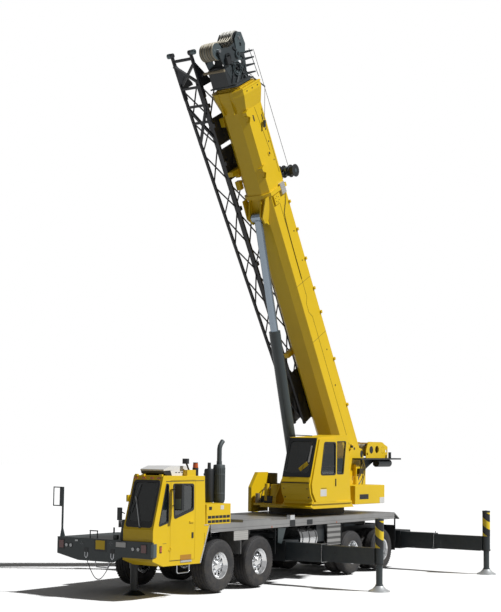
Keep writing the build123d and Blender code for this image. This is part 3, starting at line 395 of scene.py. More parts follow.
def addPipe(shape, points, radius, sides=8, smooth=True, look=None):
    # hose, cable or bent tube through control points
    curve = bpy.data.curves.new("route", "CURVE")
    curve.dimensions, curve.use_fill_caps = "3D", True
    curve.bevel_depth, curve.bevel_resolution = radius, max(0, sides // 4 - 1)
    spline = curve.splines.new("NURBS" if smooth else "POLY")
    spline.points.add(len(points) - 1)
    for point, place in zip(spline.points, points):
        point.co = (*place, 1)
    if smooth:
        spline.order_u, spline.use_endpoint_u = 3, True
        curve.resolution_u = 5
    carrier = bpy.data.objects.new("route", curve)
    bpy.context.scene.collection.objects.link(carrier)
    mesh = bpy.data.meshes.new_from_object(carrier)
    addMesh(shape, mesh, look=look)
    bpy.data.objects.remove(carrier)
    bpy.data.curves.remove(curve)
    bpy.data.meshes.remove(mesh)


def rounded(corners, radius):
    # polygon corners drawn round, five short edges each
    out, steps = [], 5
    for i, corner in enumerate(corners):
        before, here, after = Vector(corners[i - 1]), Vector(corner), Vector(corners[(i + 1) % len(corners)])
        into, away = (before - here).normalized(), (after - here).normalized()
        half = into.angle(away) / 2
        reach = min(radius / max(0.2, abs(sin(half) / cos(half))), (before - here).length * 0.45,
                    (after - here).length * 0.45)
        for k in range(steps + 1):
            t = k / steps
            a, b = here + into * reach, here + away * reach
            out.append(tuple(a * (1 - t) ** 2 + here * 2 * t * (1 - t) + b * t ** 2))
    return out


def grown(corners, amount):
    # polygon moved outwards by an amount, corner by corner
    area = sum(a[0] * b[1] - b[0] * a[1] for a, b in zip(corners, corners[1:] + corners[:1]))
    sign = 1 if area > 0 else -1
    out = []
    for i, corner in enumerate(corners):
        before, here, after = Vector(corners[i - 1]), Vector(corner), Vector(corners[(i + 1) % len(corners)])
        one, two = (here - before).normalized(), (after - here).normalized()
        n1, n2 = Vector((one.y, -one.x)) * sign, Vector((two.y, -two.x)) * sign
        out.append(tuple(here + (n1 + n2) * amount / (1 + n1.dot(n2))))
    return out


def addFrame(shape, outer, inner, at, low, high, look=None):
    # flat ring between two outlines of equally many points
    loops = [[shape.verts.new(at(a, b, t)) for a, b in line] for line in (outer, inner) for t in (low, high)]
    outLow, outHigh, inLow, inHigh = loops
    for i in range(len(outer)):
        j = (i + 1) % len(outer)
        for a, b in ((outLow, outHigh), (outHigh, inHigh), (inHigh, inLow), (inLow, outLow)):
            shape.faces.new((a[i], a[j], b[j], b[i]))
    paint(shape, look)


def addSeal(shape, corners, at, low, high, lap=0.020, cover=0.030, radius=0.07):
    # rubber round a window opening
    addFrame(shape, rounded(grown(corners, lap), radius), rounded(grown(corners, -cover), radius * 0.8), at,
             low, high)


def bodyOf(node):
    return nodes[node]["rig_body"]


def placed(name, mesh, body, bevel, angle, stands):
    # smooth object with eased edges that rides on a body
    mesh.polygons.foreach_set("use_smooth", [True] * len(mesh.polygons))
    mesh.set_sharp_from_angle(angle=radians(angle))
    made = bpy.data.objects.new(name, mesh)
    bpy.context.scene.collection.objects.link(made)
    if bevel:
        soft = made.modifiers.new("softEdges", "BEVEL")
        soft.width, soft.segments, soft.limit_method, soft.angle_limit = bevel, 2, "ANGLE", radians(40)
        soft.harden_normals = True
    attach(made, body)
    if stands:
        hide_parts(*stands)
    return made


def piece(name, shape, material, body, place=None, bevel=0.0, stands=()):
    # turns a drawn shape into an object; faces without a finish yet take the piece's own
    own = finishes.index(material) + 1
    bmesh.ops.recalc_face_normals(shape, faces=shape.faces[:])
    used = sorted({face.material_index or own for face in shape.faces})
    for face in shape.faces:
        face.material_index = used.index(face.material_index or own)
    mesh = bpy.data.meshes.new(name)
    shape.to_mesh(mesh)
    shape.free()
    if place is not None:
        mesh.transform(place)
    for number in used:
        mesh.materials.append(finishes[number - 1])
    return placed(name, mesh, body, bevel, 32, stands)


def softened(node, width, material):
    # the CAD part itself with its edges eased, so that they catch the light
    shape = bmesh.new()
    shape.from_mesh(nodes[node].data)
    bmesh.ops.remove_doubles(shape, verts=shape.verts[:], dist=1e-5)
    bmesh.ops.dissolve_limit(shape, angle_limit=radians(0.8), verts=shape.verts[:], edges=shape.edges[:])
    for face in shape.faces:
        face.material_index = 0
    mesh = bpy.data.meshes.new(node)
    shape.to_mesh(mesh)
    shape.free()
    mesh.materials.clear()
    mesh.materials.append(material)
    return placed(node + "_eased", mesh, bodyOf(node), width, 30, [node])


def dress(node, material):
    part = nodes[node]
    if not part.material_slots:
        part.data.materials.append(material)
    for socket in part.material_slots:
        socket.material = material


# geometry nodes for what repeats
def geometryTree(name, inputs):
    tree = bpy.data.node_groups.new(name, "GeometryNodeTree")
    tree.interface.new_socket("Geometry", in_out="INPUT", socket_type="NodeSocketGeometry")
    for label, kind, value in inputs:
        socket = tree.interface.new_socket(label, in_out="INPUT", socket_type=kind)
        if value is not None:
            socket.default_value = value
    tree.interface.new_socket("Geometry", in_out="OUTPUT", socket_type="NodeSocketGeometry")
    return tree, tree.nodes.new("NodeGroupInput"), tree.nodes.new("NodeGroupOutput")


def closeTree(tree, gin, gout, geometry):
    real, coat = tree.nodes.new("GeometryNodeRealizeInstances"), tree.nodes.new("GeometryNodeSetMaterial")
    tree.links.new(geometry, real.inputs[0])
    tree.links.new(real.outputs[0], coat.inputs["Geometry"])
    tree.links.new(gin.outputs["Material"], coat.inputs["Material"])
    tree.links.new(coat.outputs[0], gout.inputs[0])


def makeRing():
    # the part is set round a circle, its own +X pointing outwards
    tree, gin, gout = geometryTree("ringOfParts",
                                   [("Count", "NodeSocketInt", 10), ("Radius", "NodeSocketFloat", 1.0),
                                    ("Material", "NodeSocketMaterial", None)])
    track = tree.nodes.new("GeometryNodeMeshCircle")
    tree.links.new(gin.outputs["Count"], track.inputs["Vertices"])
    tree.links.new(gin.outputs["Radius"], track.inputs["Radius"])
    number = tree.nodes.new("GeometryNodeInputIndex").outputs[0]
    turn = mathNode(tree, "DIVIDE", mathNode(tree, "MULTIPLY", number, 2 * pi), gin.outputs["Count"])
    spin = tree.nodes.new("ShaderNodeCombineXYZ")
    tree.links.new(turn, spin.inputs["Z"])
    copies = tree.nodes.new("GeometryNodeInstanceOnPoints")
    tree.links.new(track.outputs[0], copies.inputs["Points"])
    tree.links.new(gin.outputs["Geometry"], copies.inputs["Instance"])
    tree.links.new(spin.outputs[0], copies.inputs["Rotation"])
    closeTree(tree, gin, gout, copies.outputs[0])
    return tree


def makeCoil():
    # rope laid turn by turn on a drum whose axis is Z
    tree, gin, gout = geometryTree("ropeOnDrum",
                                   [("Turns", "NodeSocketFloat", 8.0), ("Radius", "NodeSocketFloat", 0.2),
                                    ("Length", "NodeSocketFloat", 0.3), ("Rope", "NodeSocketFloat", 0.01),
                                    ("Material", "NodeSocketMaterial", None)])
    spiral = tree.nodes.new("GeometryNodeCurveSpiral")
    spiral.inputs["Resolution"].default_value = 24
    for label, target in (("Turns", "Rotations"), ("Radius", "Start Radius"), ("Radius", "End Radius"),
                          ("Length", "Height")):
        tree.links.new(gin.outputs[label], spiral.inputs[target])
    section = tree.nodes.new("GeometryNodeCurvePrimitiveCircle")
    section.inputs["Resolution"].default_value = 6
    tree.links.new(gin.outputs["Rope"], section.inputs["Radius"])
    tube = tree.nodes.new("GeometryNodeCurveToMesh")
    tube.inputs["Fill Caps"].default_value = True
    tree.links.new(spiral.outputs[0], tube.inputs["Curve"])
    tree.links.new(section.outputs[0], tube.inputs["Profile Curve"])
    closeTree(tree, gin, gout, tube.outputs[0])
    return tree


ringTree, coilTree = makeRing(), makeCoil()


def grow(tree, part, **values):
    # runs a tree on a small shape and gives back its plain mesh
    mesh = bpy.data.meshes.new("seed")
    if part is not None:
        bmesh.ops.recalc_face_normals(part, faces=part.faces[:])
        part.to_mesh(mesh)
        part.free()
    carrier = bpy.data.objects.new("seed", mesh)
    bpy.context.scene.collection.objects.link(carrier)
    grower = carrier.modifiers.new("grow", "NODES")
    grower.node_group = tree
    for item in tree.interface.items_tree:
        if item.in_out == "INPUT" and item.name in values:
            grower[item.identifier] = values[item.name]
    view = bpy.context.evaluated_depsgraph_get()
    view.update()
    made = bpy.data.meshes.new_from_object(carrier.evaluated_get(view))
    carrier.modifiers.clear()
    bpy.data.objects.remove(carrier)
    bpy.data.meshes.remove(mesh)
    return made


axisTurn = {"x": Matrix.Rotation(pi / 2, 4, "Y"), "y": Matrix.Rotation(-pi / 2, 4, "X"),
            "z": Matrix.Identity(4)}


def addBolts(shape, centre, axis, radius, count, size, height, look=None):
    nut = bmesh.new()
    addRod(nut, (0, 0, -height * 0.3), (0, 0, height), size, sides=6)
    addRod(nut, (0, 0, height), (0, 0, height * 1.4), size * 0.5, sides=6)
    ring = grow(ringTree, nut, Count=count, Radius=radius)
    addMesh(shape, ring, Matrix.Translation(centre) @ axisTurn[axis], look)


def addCoil(shape, centre, axis, radius, length, turns, ropeRadius, look=None):
    coil = grow(coilTree, None, Turns=float(turns), Radius=radius, Length=length, Rope=ropeRadius)
    start = Matrix.Translation((0, 0, -length / 2))
    addMesh(shape, coil, Matrix.Translation(centre) @ axisTurn[axis] @ start, look)


def shifted(outline, x):
    return [(x + a, b) for a, b in outline]


def oblong(a, b, wide, high):
    # corners of an upright rectangle round a point
    return [(a - wide / 2, b - high / 2), (a + wide / 2, b - high / 2), (a + wide / 2, b + high / 2),
            (a - wide / 2, b + high / 2)]


def acrossY(place):
    # matrix that stands a plate drawn in XY up in XZ at one side position
    return Matrix(((1, 0, 0, 0), (0, 0, 1, place), (0, 1, 0, 0), (0, 0, 0, 1)))


print("helpers ready")

# wheels
wheelLook = {"treadGroove": 0.010, "lugCount": 54, "bead": 0.288, "rim": 0.262, "twinWidth": 0.28,
             "twinPitch": 0.34, "steerDisc": 0.098, "driveDisc": -0.120, "discThickness": 0.022,
             "holeCount": 10, "holeRing": 0.195, "holeRadius": 0.030, "nutCount": 10, "nutRing": 0.143}


def tyreProfile(centre, width, radius, bead, groove):
    # rounded section with four grooves, from the outer bead to the inner
    h = width / 2
    half = [(h - 0.014, bead), (h - 0.004, bead + 0.012), (h, bead + 0.05), (h + 0.001, radius * 0.72),
            (h - 0.001, radius * 0.80), (h - 0.006, radius * 0.82), (h - 0.004, radius * 0.86),
            (h - 0.016, radius - 0.04), (h - 0.03, radius - 0.018), (h - 0.05, radius - 0.004)]
    tread = []
    for share in (0.62, 0.22, -0.18, -0.58):
        y = h * share * 0.9
        tread += [(y + 0.008, radius), (y + 0.006, radius - groove), (y - 0.006, radius - groove),
                  (y - 0.008, radius)]
    line = half + tread + [(-a, r) for a, r in half[::-1]]
    return [(centre + a, r) for a, r in line]


def facingOut(x, y, z, out):
    # place of what is drawn in XY and looks along Z, stood on the wheel's outer or inner face
    turn = Matrix.Translation((x, y, z)) @ axisTurn["y"]
    return turn if out > 0 else turn @ Matrix.Diagonal((1, 1, -1, 1))


def addTyre(shape, centre, y, width, radius, bead):
    profile = tyreProfile(y, width, radius, bead, wheelLook["treadGroove"])
    addTurned(shape, profile, centre, alongY, 72, True)
    for side in (1, -1):
        lug = bmesh.new()
        addPrism(lug, [(-0.036, 0.0), (0.0, 0.0), (0.0, -0.030), (-0.024, -0.044)], "y", -0.012, 0.012)
        lugs = grow(ringTree, lug, Count=wheelLook["lugCount"], Radius=radius - 0.012)
        shoulder = y + side * (width / 2 - 0.020)
        addMesh(shape, lugs, facingOut(centre[0], shoulder, centre[2], side))


def discMesh(outer, holes, thickness):
    # flat disc with real holes, drawn in XY
    curve = bpy.data.curves.new("disc", "CURVE")
    curve.dimensions, curve.fill_mode, curve.extrude = "2D", "BOTH", thickness / 2
    for loop in [outer] + holes:
        spline = curve.splines.new("POLY")
        spline.points.add(len(loop) - 1)
        spline.use_cyclic_u = True
        for point, (a, b) in zip(spline.points, loop):
            point.co = (a, b, 0, 1)
    carrier = bpy.data.objects.new("disc", curve)
    bpy.context.scene.collection.objects.link(carrier)
    mesh = bpy.data.meshes.new_from_object(carrier)
    bpy.data.objects.remove(carrier)
    bpy.data.curves.remove(curve)
    return mesh


def circle(radius, count=40, at=(0, 0), wide=1.0):
    turns = [2 * pi * k / count for k in range(count)]
    return [(at[0] + cos(a) * radius * wide, at[1] + sin(a) * radius) for a in turns]


def addRim(shape, centre, outerY, out, half, discAt):
    # rim, disc with its hand holes, and hub; half is half the tyre's width
    bead, rim = wheelLook["bead"], wheelLook["rim"]
    placedAt = lambda profile: [(outerY + out * a, r) for a, r in profile]
    lip = [(half - 0.010, bead + 0.002), (half - 0.006, rim + 0.008), (half - 0.020, rim - 0.004),
           (half - 0.045, rim - 0.012)]
    face = lip + [(discAt + 0.05, rim - 0.022), (discAt + 0.022, rim - 0.045)]
    inside = [(-half + 0.02, rim - 0.02), (-half + 0.012, bead)]
    addTurned(shape, placedAt(face + inside), centre, alongY, 56, True, alloy)
    spots = circle(wheelLook["holeRing"], wheelLook["holeCount"])
    holes = [circle(wheelLook["holeRadius"], 12, spot) for spot in spots]
    disc = discMesh(circle(rim - 0.02, 56), holes, wheelLook["discThickness"])
    addMesh(shape, disc, facingOut(centre[0], outerY + out * (discAt + 0.012), centre[2], 1), alloy)
    hubEnd = half - 0.055
    hub = [(discAt, 0.128), (discAt + 0.035, 0.122), (discAt + 0.045, 0.105)]
    if hubEnd < discAt + 0.09:
        hub += [(discAt + 0.06, 0.085), (discAt + 0.075, 0.07), (discAt + 0.075, 0.0)]
    else:
        hub += [(discAt + 0.06, 0.092), (hubEnd - 0.03, 0.080), (hubEnd - 0.008, 0.074), (hubEnd, 0.058),
                (hubEnd, 0.0)]
    back = [(discAt - 0.02, 0.0), (discAt - 0.02, 0.128)]
    addTurned(shape, placedAt(back + hub), centre, alongY, 40, look=alloy)


def addWheelNuts(shape, x, y, z, out):
    nut = bmesh.new()
    addRod(nut, (0, 0, 0), (0, 0, 0.026), 0.017, sides=6)
    addRod(nut, (0, 0, 0.026), (0, 0, 0.045), 0.013, 0.008, sides=8)
    nuts = grow(ringTree, nut, Count=wheelLook["nutCount"], Radius=wheelLook["nutRing"])
    addMesh(shape, nuts, facingOut(x, y, z, out), steel)


def buildWheel(n, mark):
    node = f"wheel_{n}_{mark}"
    low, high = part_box(node)
    out = 1 if mark == "left" else -1
    x, z = (low.x + high.x) / 2, (low.z + high.z) / 2
    radius = (high.z - low.z) / 2
    twin = n > 2
    width = wheelLook["twinWidth"] if twin else high.y - low.y
    outerY = (high.y if out > 0 else low.y) - out * width / 2     # middle of the outer tyre
    discAt = wheelLook["driveDisc"] if twin else wheelLook["steerDisc"]
    shape = bmesh.new()
    centre = (x, 0, z)
    for y in (outerY, outerY - out * wheelLook["twinPitch"])[:2 if twin else 1]:
        addTyre(shape, centre, y, width - 0.004, radius - 0.001, wheelLook["bead"])
    addRim(shape, centre, outerY, out, width / 2, discAt)
    addWheelNuts(shape, x, outerY + out * (discAt + 0.023), z, out)
    piece(f"roadWheel_{n}_{mark}", shape, tyre, node, stands=[node])


for n in (1, 2, 3, 4):
    for mark in ("left", "right"):
        buildWheel(n, mark)
print("wheels made")

# carrier cab
cabLook = {"wallOut": 1.27, "screenFoot": (2.345, 1.450), "screenTop": (2.030, 2.550),
           "markers": (0.55, 0.76, 0.98, 1.16), "beacon": (0.75, 1.12), "mirrorArms": (1.93, 2.27)}
roofLook = {"inner": 0.53, "outer": 1.15, "slots": 4, "slotPitch": 0.10}
footX, footZ = cabLook["screenFoot"]
topX, topZ = cabLook["screenTop"]
lean = (footX - topX) / (topZ - footZ)


def screenAt(a, b, t):
    # point on the raked front: a across, b height, t out of the glass
    return (axleOne + footX - (b - footZ) * lean + t, a, b)


def sideAt(y):
    return lambda a, b, t: (axleOne + a, y + t, b)


def addScreens():
    # seals of the windscreen, the corner pane and the door's pane
    screen = [(0.54, 1.51), (1.21, 1.51), (1.21, 2.44), (0.54, 2.44)]
    corner = [(1.93, 2.39), (1.85, 2.36), (1.85, 1.59), (2.16, 1.52)]
    doorPane = [(1.70, 2.37), (1.00, 2.36), (0.99, 1.83), (1.65, 1.66)]
    out = sideAt(cabLook["wallOut"])
    shape = bmesh.new()
    addSeal(shape, screen, screenAt, -0.012, 0.010, 0.016, 0.035, 0.085)
    addPanel(shape, oblong(0.875, 1.575, 0.64, 0.09), screenAt, -0.004, 0.006)
    addSeal(shape, corner, out, -0.012, 0.006, 0.012, 0.02, 0.05)
    piece("cabWindowRubber", shape, rubber, "chassis", bevel=0.004)
    shape = bmesh.new()
    addSeal(shape, doorPane, out, -0.012, 0.006, 0.016, 0.03, 0.07)
    addBlock(shape, (axleOne + 1.015, 1.236, 1.995), (axleOne + 1.685, 1.246, 2.010))
    piece("cabDoorWindowRubber", shape, rubber, "carrier_door", bevel=0.004)


def addRoofUnit():
    # white cooling unit with its open front
    shape = bmesh.new()
    x, inner, outer = axleOne, roofLook["inner"], roofLook["outer"]
    lid = [(1.08, 2.66), (1.12, 2.744), (1.64, 2.744), (1.885, 2.675), (1.885, 2.645), (1.62, 2.655)]
    tray = [(1.085, 2.54), (1.08, 2.66), (1.66, 2.66), (1.60, 2.540)]
    mouth = [(1.58, 2.536), (1.62, 2.652), (1.878, 2.646), (1.862, 2.590), (1.72, 2.536)]
    addPrism(shape, shifted(lid, x), "y", inner, outer)
    addPrism(shape, shifted(tray, x), "y", inner, outer)
    addPrism(shape, shifted(mouth, x), "y", inner + 0.004, outer - 0.004, plastic)
    for k in range(roofLook["slots"]):
        start = k * roofLook["slotPitch"]
        addBlock(shape, (x + 1.13 + start, outer, 2.60), (x + 1.19 + start, outer + 0.003, 2.615), plastic)
    piece("roofCoolingUnit", shape, white, "chassis", bevel=0.012)


def addCabSide(shape, x, y):
    # marker lamps over the screen, then seams, side marker and handle pocket on the outer wall
    for at in cabLook["markers"]:
        addBlock(shape, (x + 2.02, at - 0.045, 2.478), (x + 2.058, at + 0.045, 2.512), amberLamp)
    addBlocks(shape, (x, y, 0), [
        ((0.64, -0.004, 2.425), (1.95, 0.004, 2.437), darkFrame),
        ((2.055, -0.002, 0.980), (2.125, 0.008, 1.120), plastic),
        ((2.067, 0.0, 0.995), (2.113, 0.014, 1.105), amberLamp),
        ((0.99, -0.002, 1.235), (1.05, 0.010, 1.355), plastic),
        ((1.90, -0.002, 1.16), (2.02, 0.002, 1.168), darkFrame),
        ((1.40, -0.002, 0.80), (1.80, 0.004, 0.808), darkFrame)])
    # grey edge strip down the wheel arch
    strip = [(0.40, 1.478), (0.435, 1.478), (0.752, 0.700), (0.715, 0.700)]
    addPrism(shape, shifted(strip, x), "y", y - 0.30, y + 0.006, stepMetal)
    addBlock(shape, (x + 0.45, y + 0.0005, 1.478), (x + 0.60, y + 0.006, 1.500), stepMetal)


def addCabStep(shape, x, y):
    # orange pocket, silver tread and the hanging loop
    addBlocks(shape, (x, y, 0), [
        ((1.05, -0.06, 0.795), (1.43, 0.003, 0.905), orangeTape),
        ((1.05, -0.08, 0.748), (1.43, 0.014, 0.790), stepMetal)])
    loop = [(1.09, 0.78), (1.09, 0.56), (1.13, 0.53), (1.47, 0.53), (1.51, 0.56), (1.51, 0.78)]
    addPipe(shape, [(x + a, y - 0.02, b) for a, b in loop], 0.014, 8, False, steel)


def addRoofFittings(shape, x):
    # yellow block with a camera on a stalk, the beacon, and the little mirror at the far front corner
    addBlock(shape, (x + 0.92, 1.05, 2.53), (x + 1.22, 1.26, 2.66))
    addBar(shape, (x + 1.08, 1.20, 2.64), (x + 1.24, 1.25, 2.80), 0.03, look=plastic)
    addBlock(shape, (x + 1.20, 1.18, 2.79), (x + 1.29, 1.29, 2.90), plastic)
    a, y = x + cabLook["beacon"][0], cabLook["beacon"][1]
    stages = [(2.53, 2.70, 0.065, 0.065, plastic), (2.70, 2.80, 0.060, 0.052, amberLamp),
              (2.80, 2.815, 0.054, 0.054, plastic)]
    for low, high, radius, tip, look in stages:
        addRod(shape, (a, y, low), (a, y, high), radius, tip, sides=24, look=look)
    addBar(shape, (x + 2.33, 0.50, 1.76), (x + 2.33, 0.40, 1.80), 0.018, look=plastic)
    addBlock(shape, (x + 2.30, 0.32, 1.62), (x + 2.36, 0.41, 1.88), plastic)
    addBlock(shape, (x + 2.06, 0.44, 2.0), (x + 2.22, 0.482, 2.14))


def addCabTrim():
    shape = bmesh.new()
    addCabSide(shape, axleOne, cabLook["wallOut"])
    addCabStep(shape, axleOne, cabLook["wallOut"])
    addRoofFittings(shape, axleOne)
    piece("cabTrim", shape, yellow, "chassis", bevel=0.004)


def addDoorMirror():
    # mirror on its two arms, carried by the door
    shape = bmesh.new()
    x, y = axleOne, cabLook["wallOut"]
    addBlock(shape, (x + 1.70, 1.370, 1.84), (x + 1.78, 1.560, 2.38))
    addBlock(shape, (x + 1.776, 1.385, 1.87), (x + 1.786, 1.545, 2.08), steelGrey)
    for at in cabLook["mirrorArms"]:
        arm = [(x + 1.71, y - 0.02, at), (x + 1.72, y + 0.06, at), (x + 1.74, 1.40, at - 0.03)]
        addPipe(shape, arm, 0.011, 8)
    piece("doorMirror", shape, plastic, "carrier_door", bevel=0.012)


def addWiper():
    shape = bmesh.new()
    addBar(shape, screenAt(0.92, 1.50, 0.03), screenAt(0.66, 2.12, 0.03), 0.014, 0.008)
    addBar(shape, screenAt(0.60, 1.80, 0.026), screenAt(0.72, 2.38, 0.026), 0.012, 0.016)
    addRod(shape, screenAt(0.92, 1.50, 0.0), screenAt(0.92, 1.50, 0.04), 0.02, sides=12)
    piece("cabWiper", shape, plastic, "chassis")


softened("carrier_cab", 0.012, yellow)
softened("carrier_door", 0.005, yellow)
softened("engine_hood", 0.010, yellow)
addScreens()
addRoofUnit()
addCabTrim()
addDoorMirror()
addWiper()
print("carrier cab made")

# exhaust and hood
exhaustLook = {"back": 0.58, "side": 0.78, "pipe": 0.054, "guardRibs": 20, "guardRadius": 0.133}
hoodLook = {"louvres": 6, "louvrePitch": 0.137, "louvreRows": (1.520, 1.615), "louvreSize": (0.120, 0.060)}


def addExhaust():
    shape = bmesh.new()
    x, y = axleOne - exhaustLook["back"], exhaustLook["side"]
    can = [(1.50, 0.0), (1.50, 0.070), (1.86, 0.070), (1.93, 0.122), (1.96, 0.132), (2.10, 0.132),
           (2.105, 0.139), (2.13, 0.139), (2.135, 0.132), (2.52, 0.132), (2.525, 0.139), (2.55, 0.139),
           (2.555, 0.132), (2.735, 0.132), (2.755, 0.122), (2.76, 0.062), (2.84, 0.060), (2.84, 0.0)]
    addTurned(shape, can, (x, y, 0), alongZ, 40)
    tail = [(0.0, 2.74), (0.0, 3.00), (0.0, 3.12), (0.04, 3.21), (0.12, 3.28)]
    addPipe(shape, [(x - a, y, b) for a, b in tail], exhaustLook["pipe"], 20)
    guard = bmesh.new()                                           # ribs of the heat guard
    addBlock(guard, (-0.004, -0.010, 1.98), (0.005, 0.010, 2.69))
    ribs = grow(ringTree, guard, Count=exhaustLook["guardRibs"], Radius=exhaustLook["guardRadius"])
    addMesh(shape, ribs, Matrix.Translation((x, y, 0)))
    # air cleaner beside it, with its two braces
    cleaner = [(1.90, 0.0), (1.90, 0.085), (1.95, 0.110), (2.62, 0.110), (2.66, 0.098), (2.67, 0.040),
               (2.80, 0.036), (2.80, 0.0)]
    addTurned(shape, cleaner, (x + 0.20, y - 0.13, 0), alongZ, 32, look=plastic)
    addRod(shape, (x + 0.20, y - 0.13, 1.48), (x + 0.20, y - 0.13, 1.92), 0.060, sides=20, look=plastic)
    for b in (2.12, 2.54):
        addBar(shape, (x - 0.10, y - 0.10, b), (x + 0.28, y - 0.22, b), 0.02, 0.05, plastic)
    piece("silencerAndStack", shape, exhaustGrey, "chassis", bevel=0.004, stands=["exhaust"])


def addHoodTrim():
    # two labels and the louvred plate on the hood's outer side, and its filler cap
    shape = bmesh.new()
    addBlocks(shape, (axleOne, 0, 0), [
        ((-0.10, 1.268, 1.80), (0.02, 1.273, 1.89), label),
        ((0.34, 1.268, 1.80), (0.44, 1.273, 1.87), plastic),
        ((-0.345, 1.250, 1.575), (0.505, 1.2706, 1.812), yellow)])
    wide, high = hoodLook["louvreSize"]
    for k in range(hoodLook["louvres"]):
        start = axleOne - 0.325 + k * hoodLook["louvrePitch"]
        for b in hoodLook["louvreRows"]:
            addBlock(shape, (start, 1.262, b), (start + wide, 1.2722, b + high), plastic)
    addRod(shape, (axleOne - 0.42, 1.10, 1.49), (axleOne - 0.42, 1.10, 1.62), 0.04, look=plastic)
    piece("hoodLabels", shape, label, "chassis")


addExhaust()
addHoodTrim()

# plain CAD parts that only take a finish
for node, finishOf in (("chassis_frame", darkFrame), ("front_deck", bumperPaint),
                       ("carrier_cab_glass", glass), ("carrier_door_glass", glass),
                       ("carrier_seat", seatCloth), ("upper_seat", seatCloth), ("engine", iron),
                       ("steer_axles", darkFrame), ("drive_axles", darkFrame), ("side_tanks", tankMetal),
                       ("side_steps", darkFrame), ("lift_rod", rodSteel)):
    dress(node, finishOf)
for n in (1, 2):
    for mark in ("left", "right"):
        dress(f"knuckle_{n}_{mark}", darkFrame)
softened("deck", 0.008, deckMetal)
softened("turntable", 0.008, yellow)
softened("counterweight", 0.012, yellow)
softened("hoist_platform", 0.006, darkFrame)
for node in ("boom_base", "boom_section_1", "boom_section_2", "boom_fly"):
    softened(node, 0.008, yellow)
softened("lift_barrel", 0.006, cylinderGrey)
softened("jib", 0.004, jibBlack)
for end in ("front", "rear"):
    for mark in ("left", "right"):
        softened(f"outrigger_outer_{end}_{mark}", 0.006, beamPaint)
softened("front_jack_foot", 0.004, darkFrame)
print("cad parts finished")

# front bumper
bumperLow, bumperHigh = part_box("front_bumper")
bumperLook = {"foot": 0.868, "dip": 0.750, "top": 1.207, "plate": 0.048, "lampRadius": 0.036,
              "lampHeight": 1.050, "squareLamps": (-1.175, 1.075), "roundLamps": (-1.03, -0.91, 0.79, 0.93),
              "hooks": (-0.475, 0.24)}


def addBumperPlate(shape, face, wide):
    # plate with its dipped lower edge, the box behind it and the lip on top
    foot, dip, top = bumperLook["foot"], bumperLook["dip"], bumperLook["top"]
    outline = [(-wide, top), (-wide, foot), (-0.70, dip), (0.25, dip), (0.48, foot), (wide, foot),
               (wide, top)]
    addPrism(shape, outline, "x", face - bumperLook["plate"], face)
    addBlock(shape, (bumperLow.x, -wide, foot + 0.012), (face - 0.01, 0.46, top))
    addBlock(shape, (face - 0.02, -wide + 0.01, top - 0.012), (face + 0.004, wide - 0.01, top))


def addBumperLamps(shape, face):
    for y in bumperLook["squareLamps"]:
        addBlocks(shape, (face, y, 0), [
            ((-0.02, -0.085, 0.965), (0.005, 0.085, 1.165), plastic),
            ((0.0, -0.065, 0.985), (0.010, 0.065, 1.145), redLamp)])
    radius, z = bumperLook["lampRadius"], bumperLook["lampHeight"]
    for y in bumperLook["roundLamps"]:
        addRod(shape, (face - 0.01, y, z), (face + 0.006, y, z), radius + 0.014, sides=28, look=plastic)
        addRod(shape, (face, y, z), (face + 0.011, y, z), radius, sides=28, look=clearLamp)


def addBumperPlates(shape, face, wide):
    # small lamp, blank plates with their rims, and the grey end
    addBlocks(shape, (face, 0, 0), [
        ((0.0, -0.79, 1.140), (0.010, -0.71, 1.175), clearLamp),
        ((0.0, -0.215, 1.000), (0.008, 0.035, 1.185), yellow),
        ((0.0, -0.265, 0.960), (0.003, 0.085, 1.200), plastic),
        ((0.0, 0.34, 1.075), (0.009, 0.60, 1.175), label),
        ((0.0, 0.33, 1.065), (0.004, 0.61, 1.185), plastic),
        ((-0.15, wide - 0.030, 0.90), (0.002, wide - 0.001, 1.17), steelGrey)])


def addTowingGear(shape, face):
    # hooks under the plate, the step that hangs between them and the line below it
    hook = [(-0.01, -0.035, 0.96), (-0.005, -0.045, 0.86), (-0.01, 0.0, 0.80), (-0.005, 0.045, 0.86),
            (-0.01, 0.035, 0.96)]
    for y in bumperLook["hooks"]:
        addBlock(shape, (face - 0.02, y - 0.05, 0.93), (face + 0.008, y + 0.05, 1.02), plastic)
        addPipe(shape, [(face + a, y + b, c) for a, b, c in hook], 0.014, 10, look=steel)
    step = [(-0.03, -0.24, 0.82), (-0.02, -0.22, 0.655), (-0.02, -0.19, 0.635), (-0.02, 0.10, 0.635),
            (-0.02, 0.13, 0.655), (-0.03, 0.15, 0.82)]
    addPipe(shape, [(face + a, b, c) for a, b, c in step], 0.012, 10, False, steel)
    line = [(-0.012, -0.475, 0.80), (-0.03, -0.36, 0.52), (-0.03, -0.17, 0.345), (-0.03, 0.02, 0.47),
            (-0.012, 0.24, 0.80)]
    addPipe(shape, [(face + a, b, c) for a, b, c in line], 0.010, 6, look=hose)


def addBumper():
    shape = bmesh.new()
    face, wide = bumperHigh.x - 0.012, bumperHigh.y
    addBumperPlate(shape, face, wide)
    addBumperLamps(shape, face)
    addBumperPlates(shape, face, wide)
    addTowingGear(shape, face)
    for place in ((face, -0.60, 1.10), (face, 0.20, 1.14)):
        addBolts(shape, place, "x", 0.03, 4, 0.007, 0.006, steel)
    name, stands = "bumperAndLamps", ["front_bumper"]
    piece(name, shape, bumperPaint, "chassis", bevel=0.003, stands=stands)


addBumper()
print("bumper made")

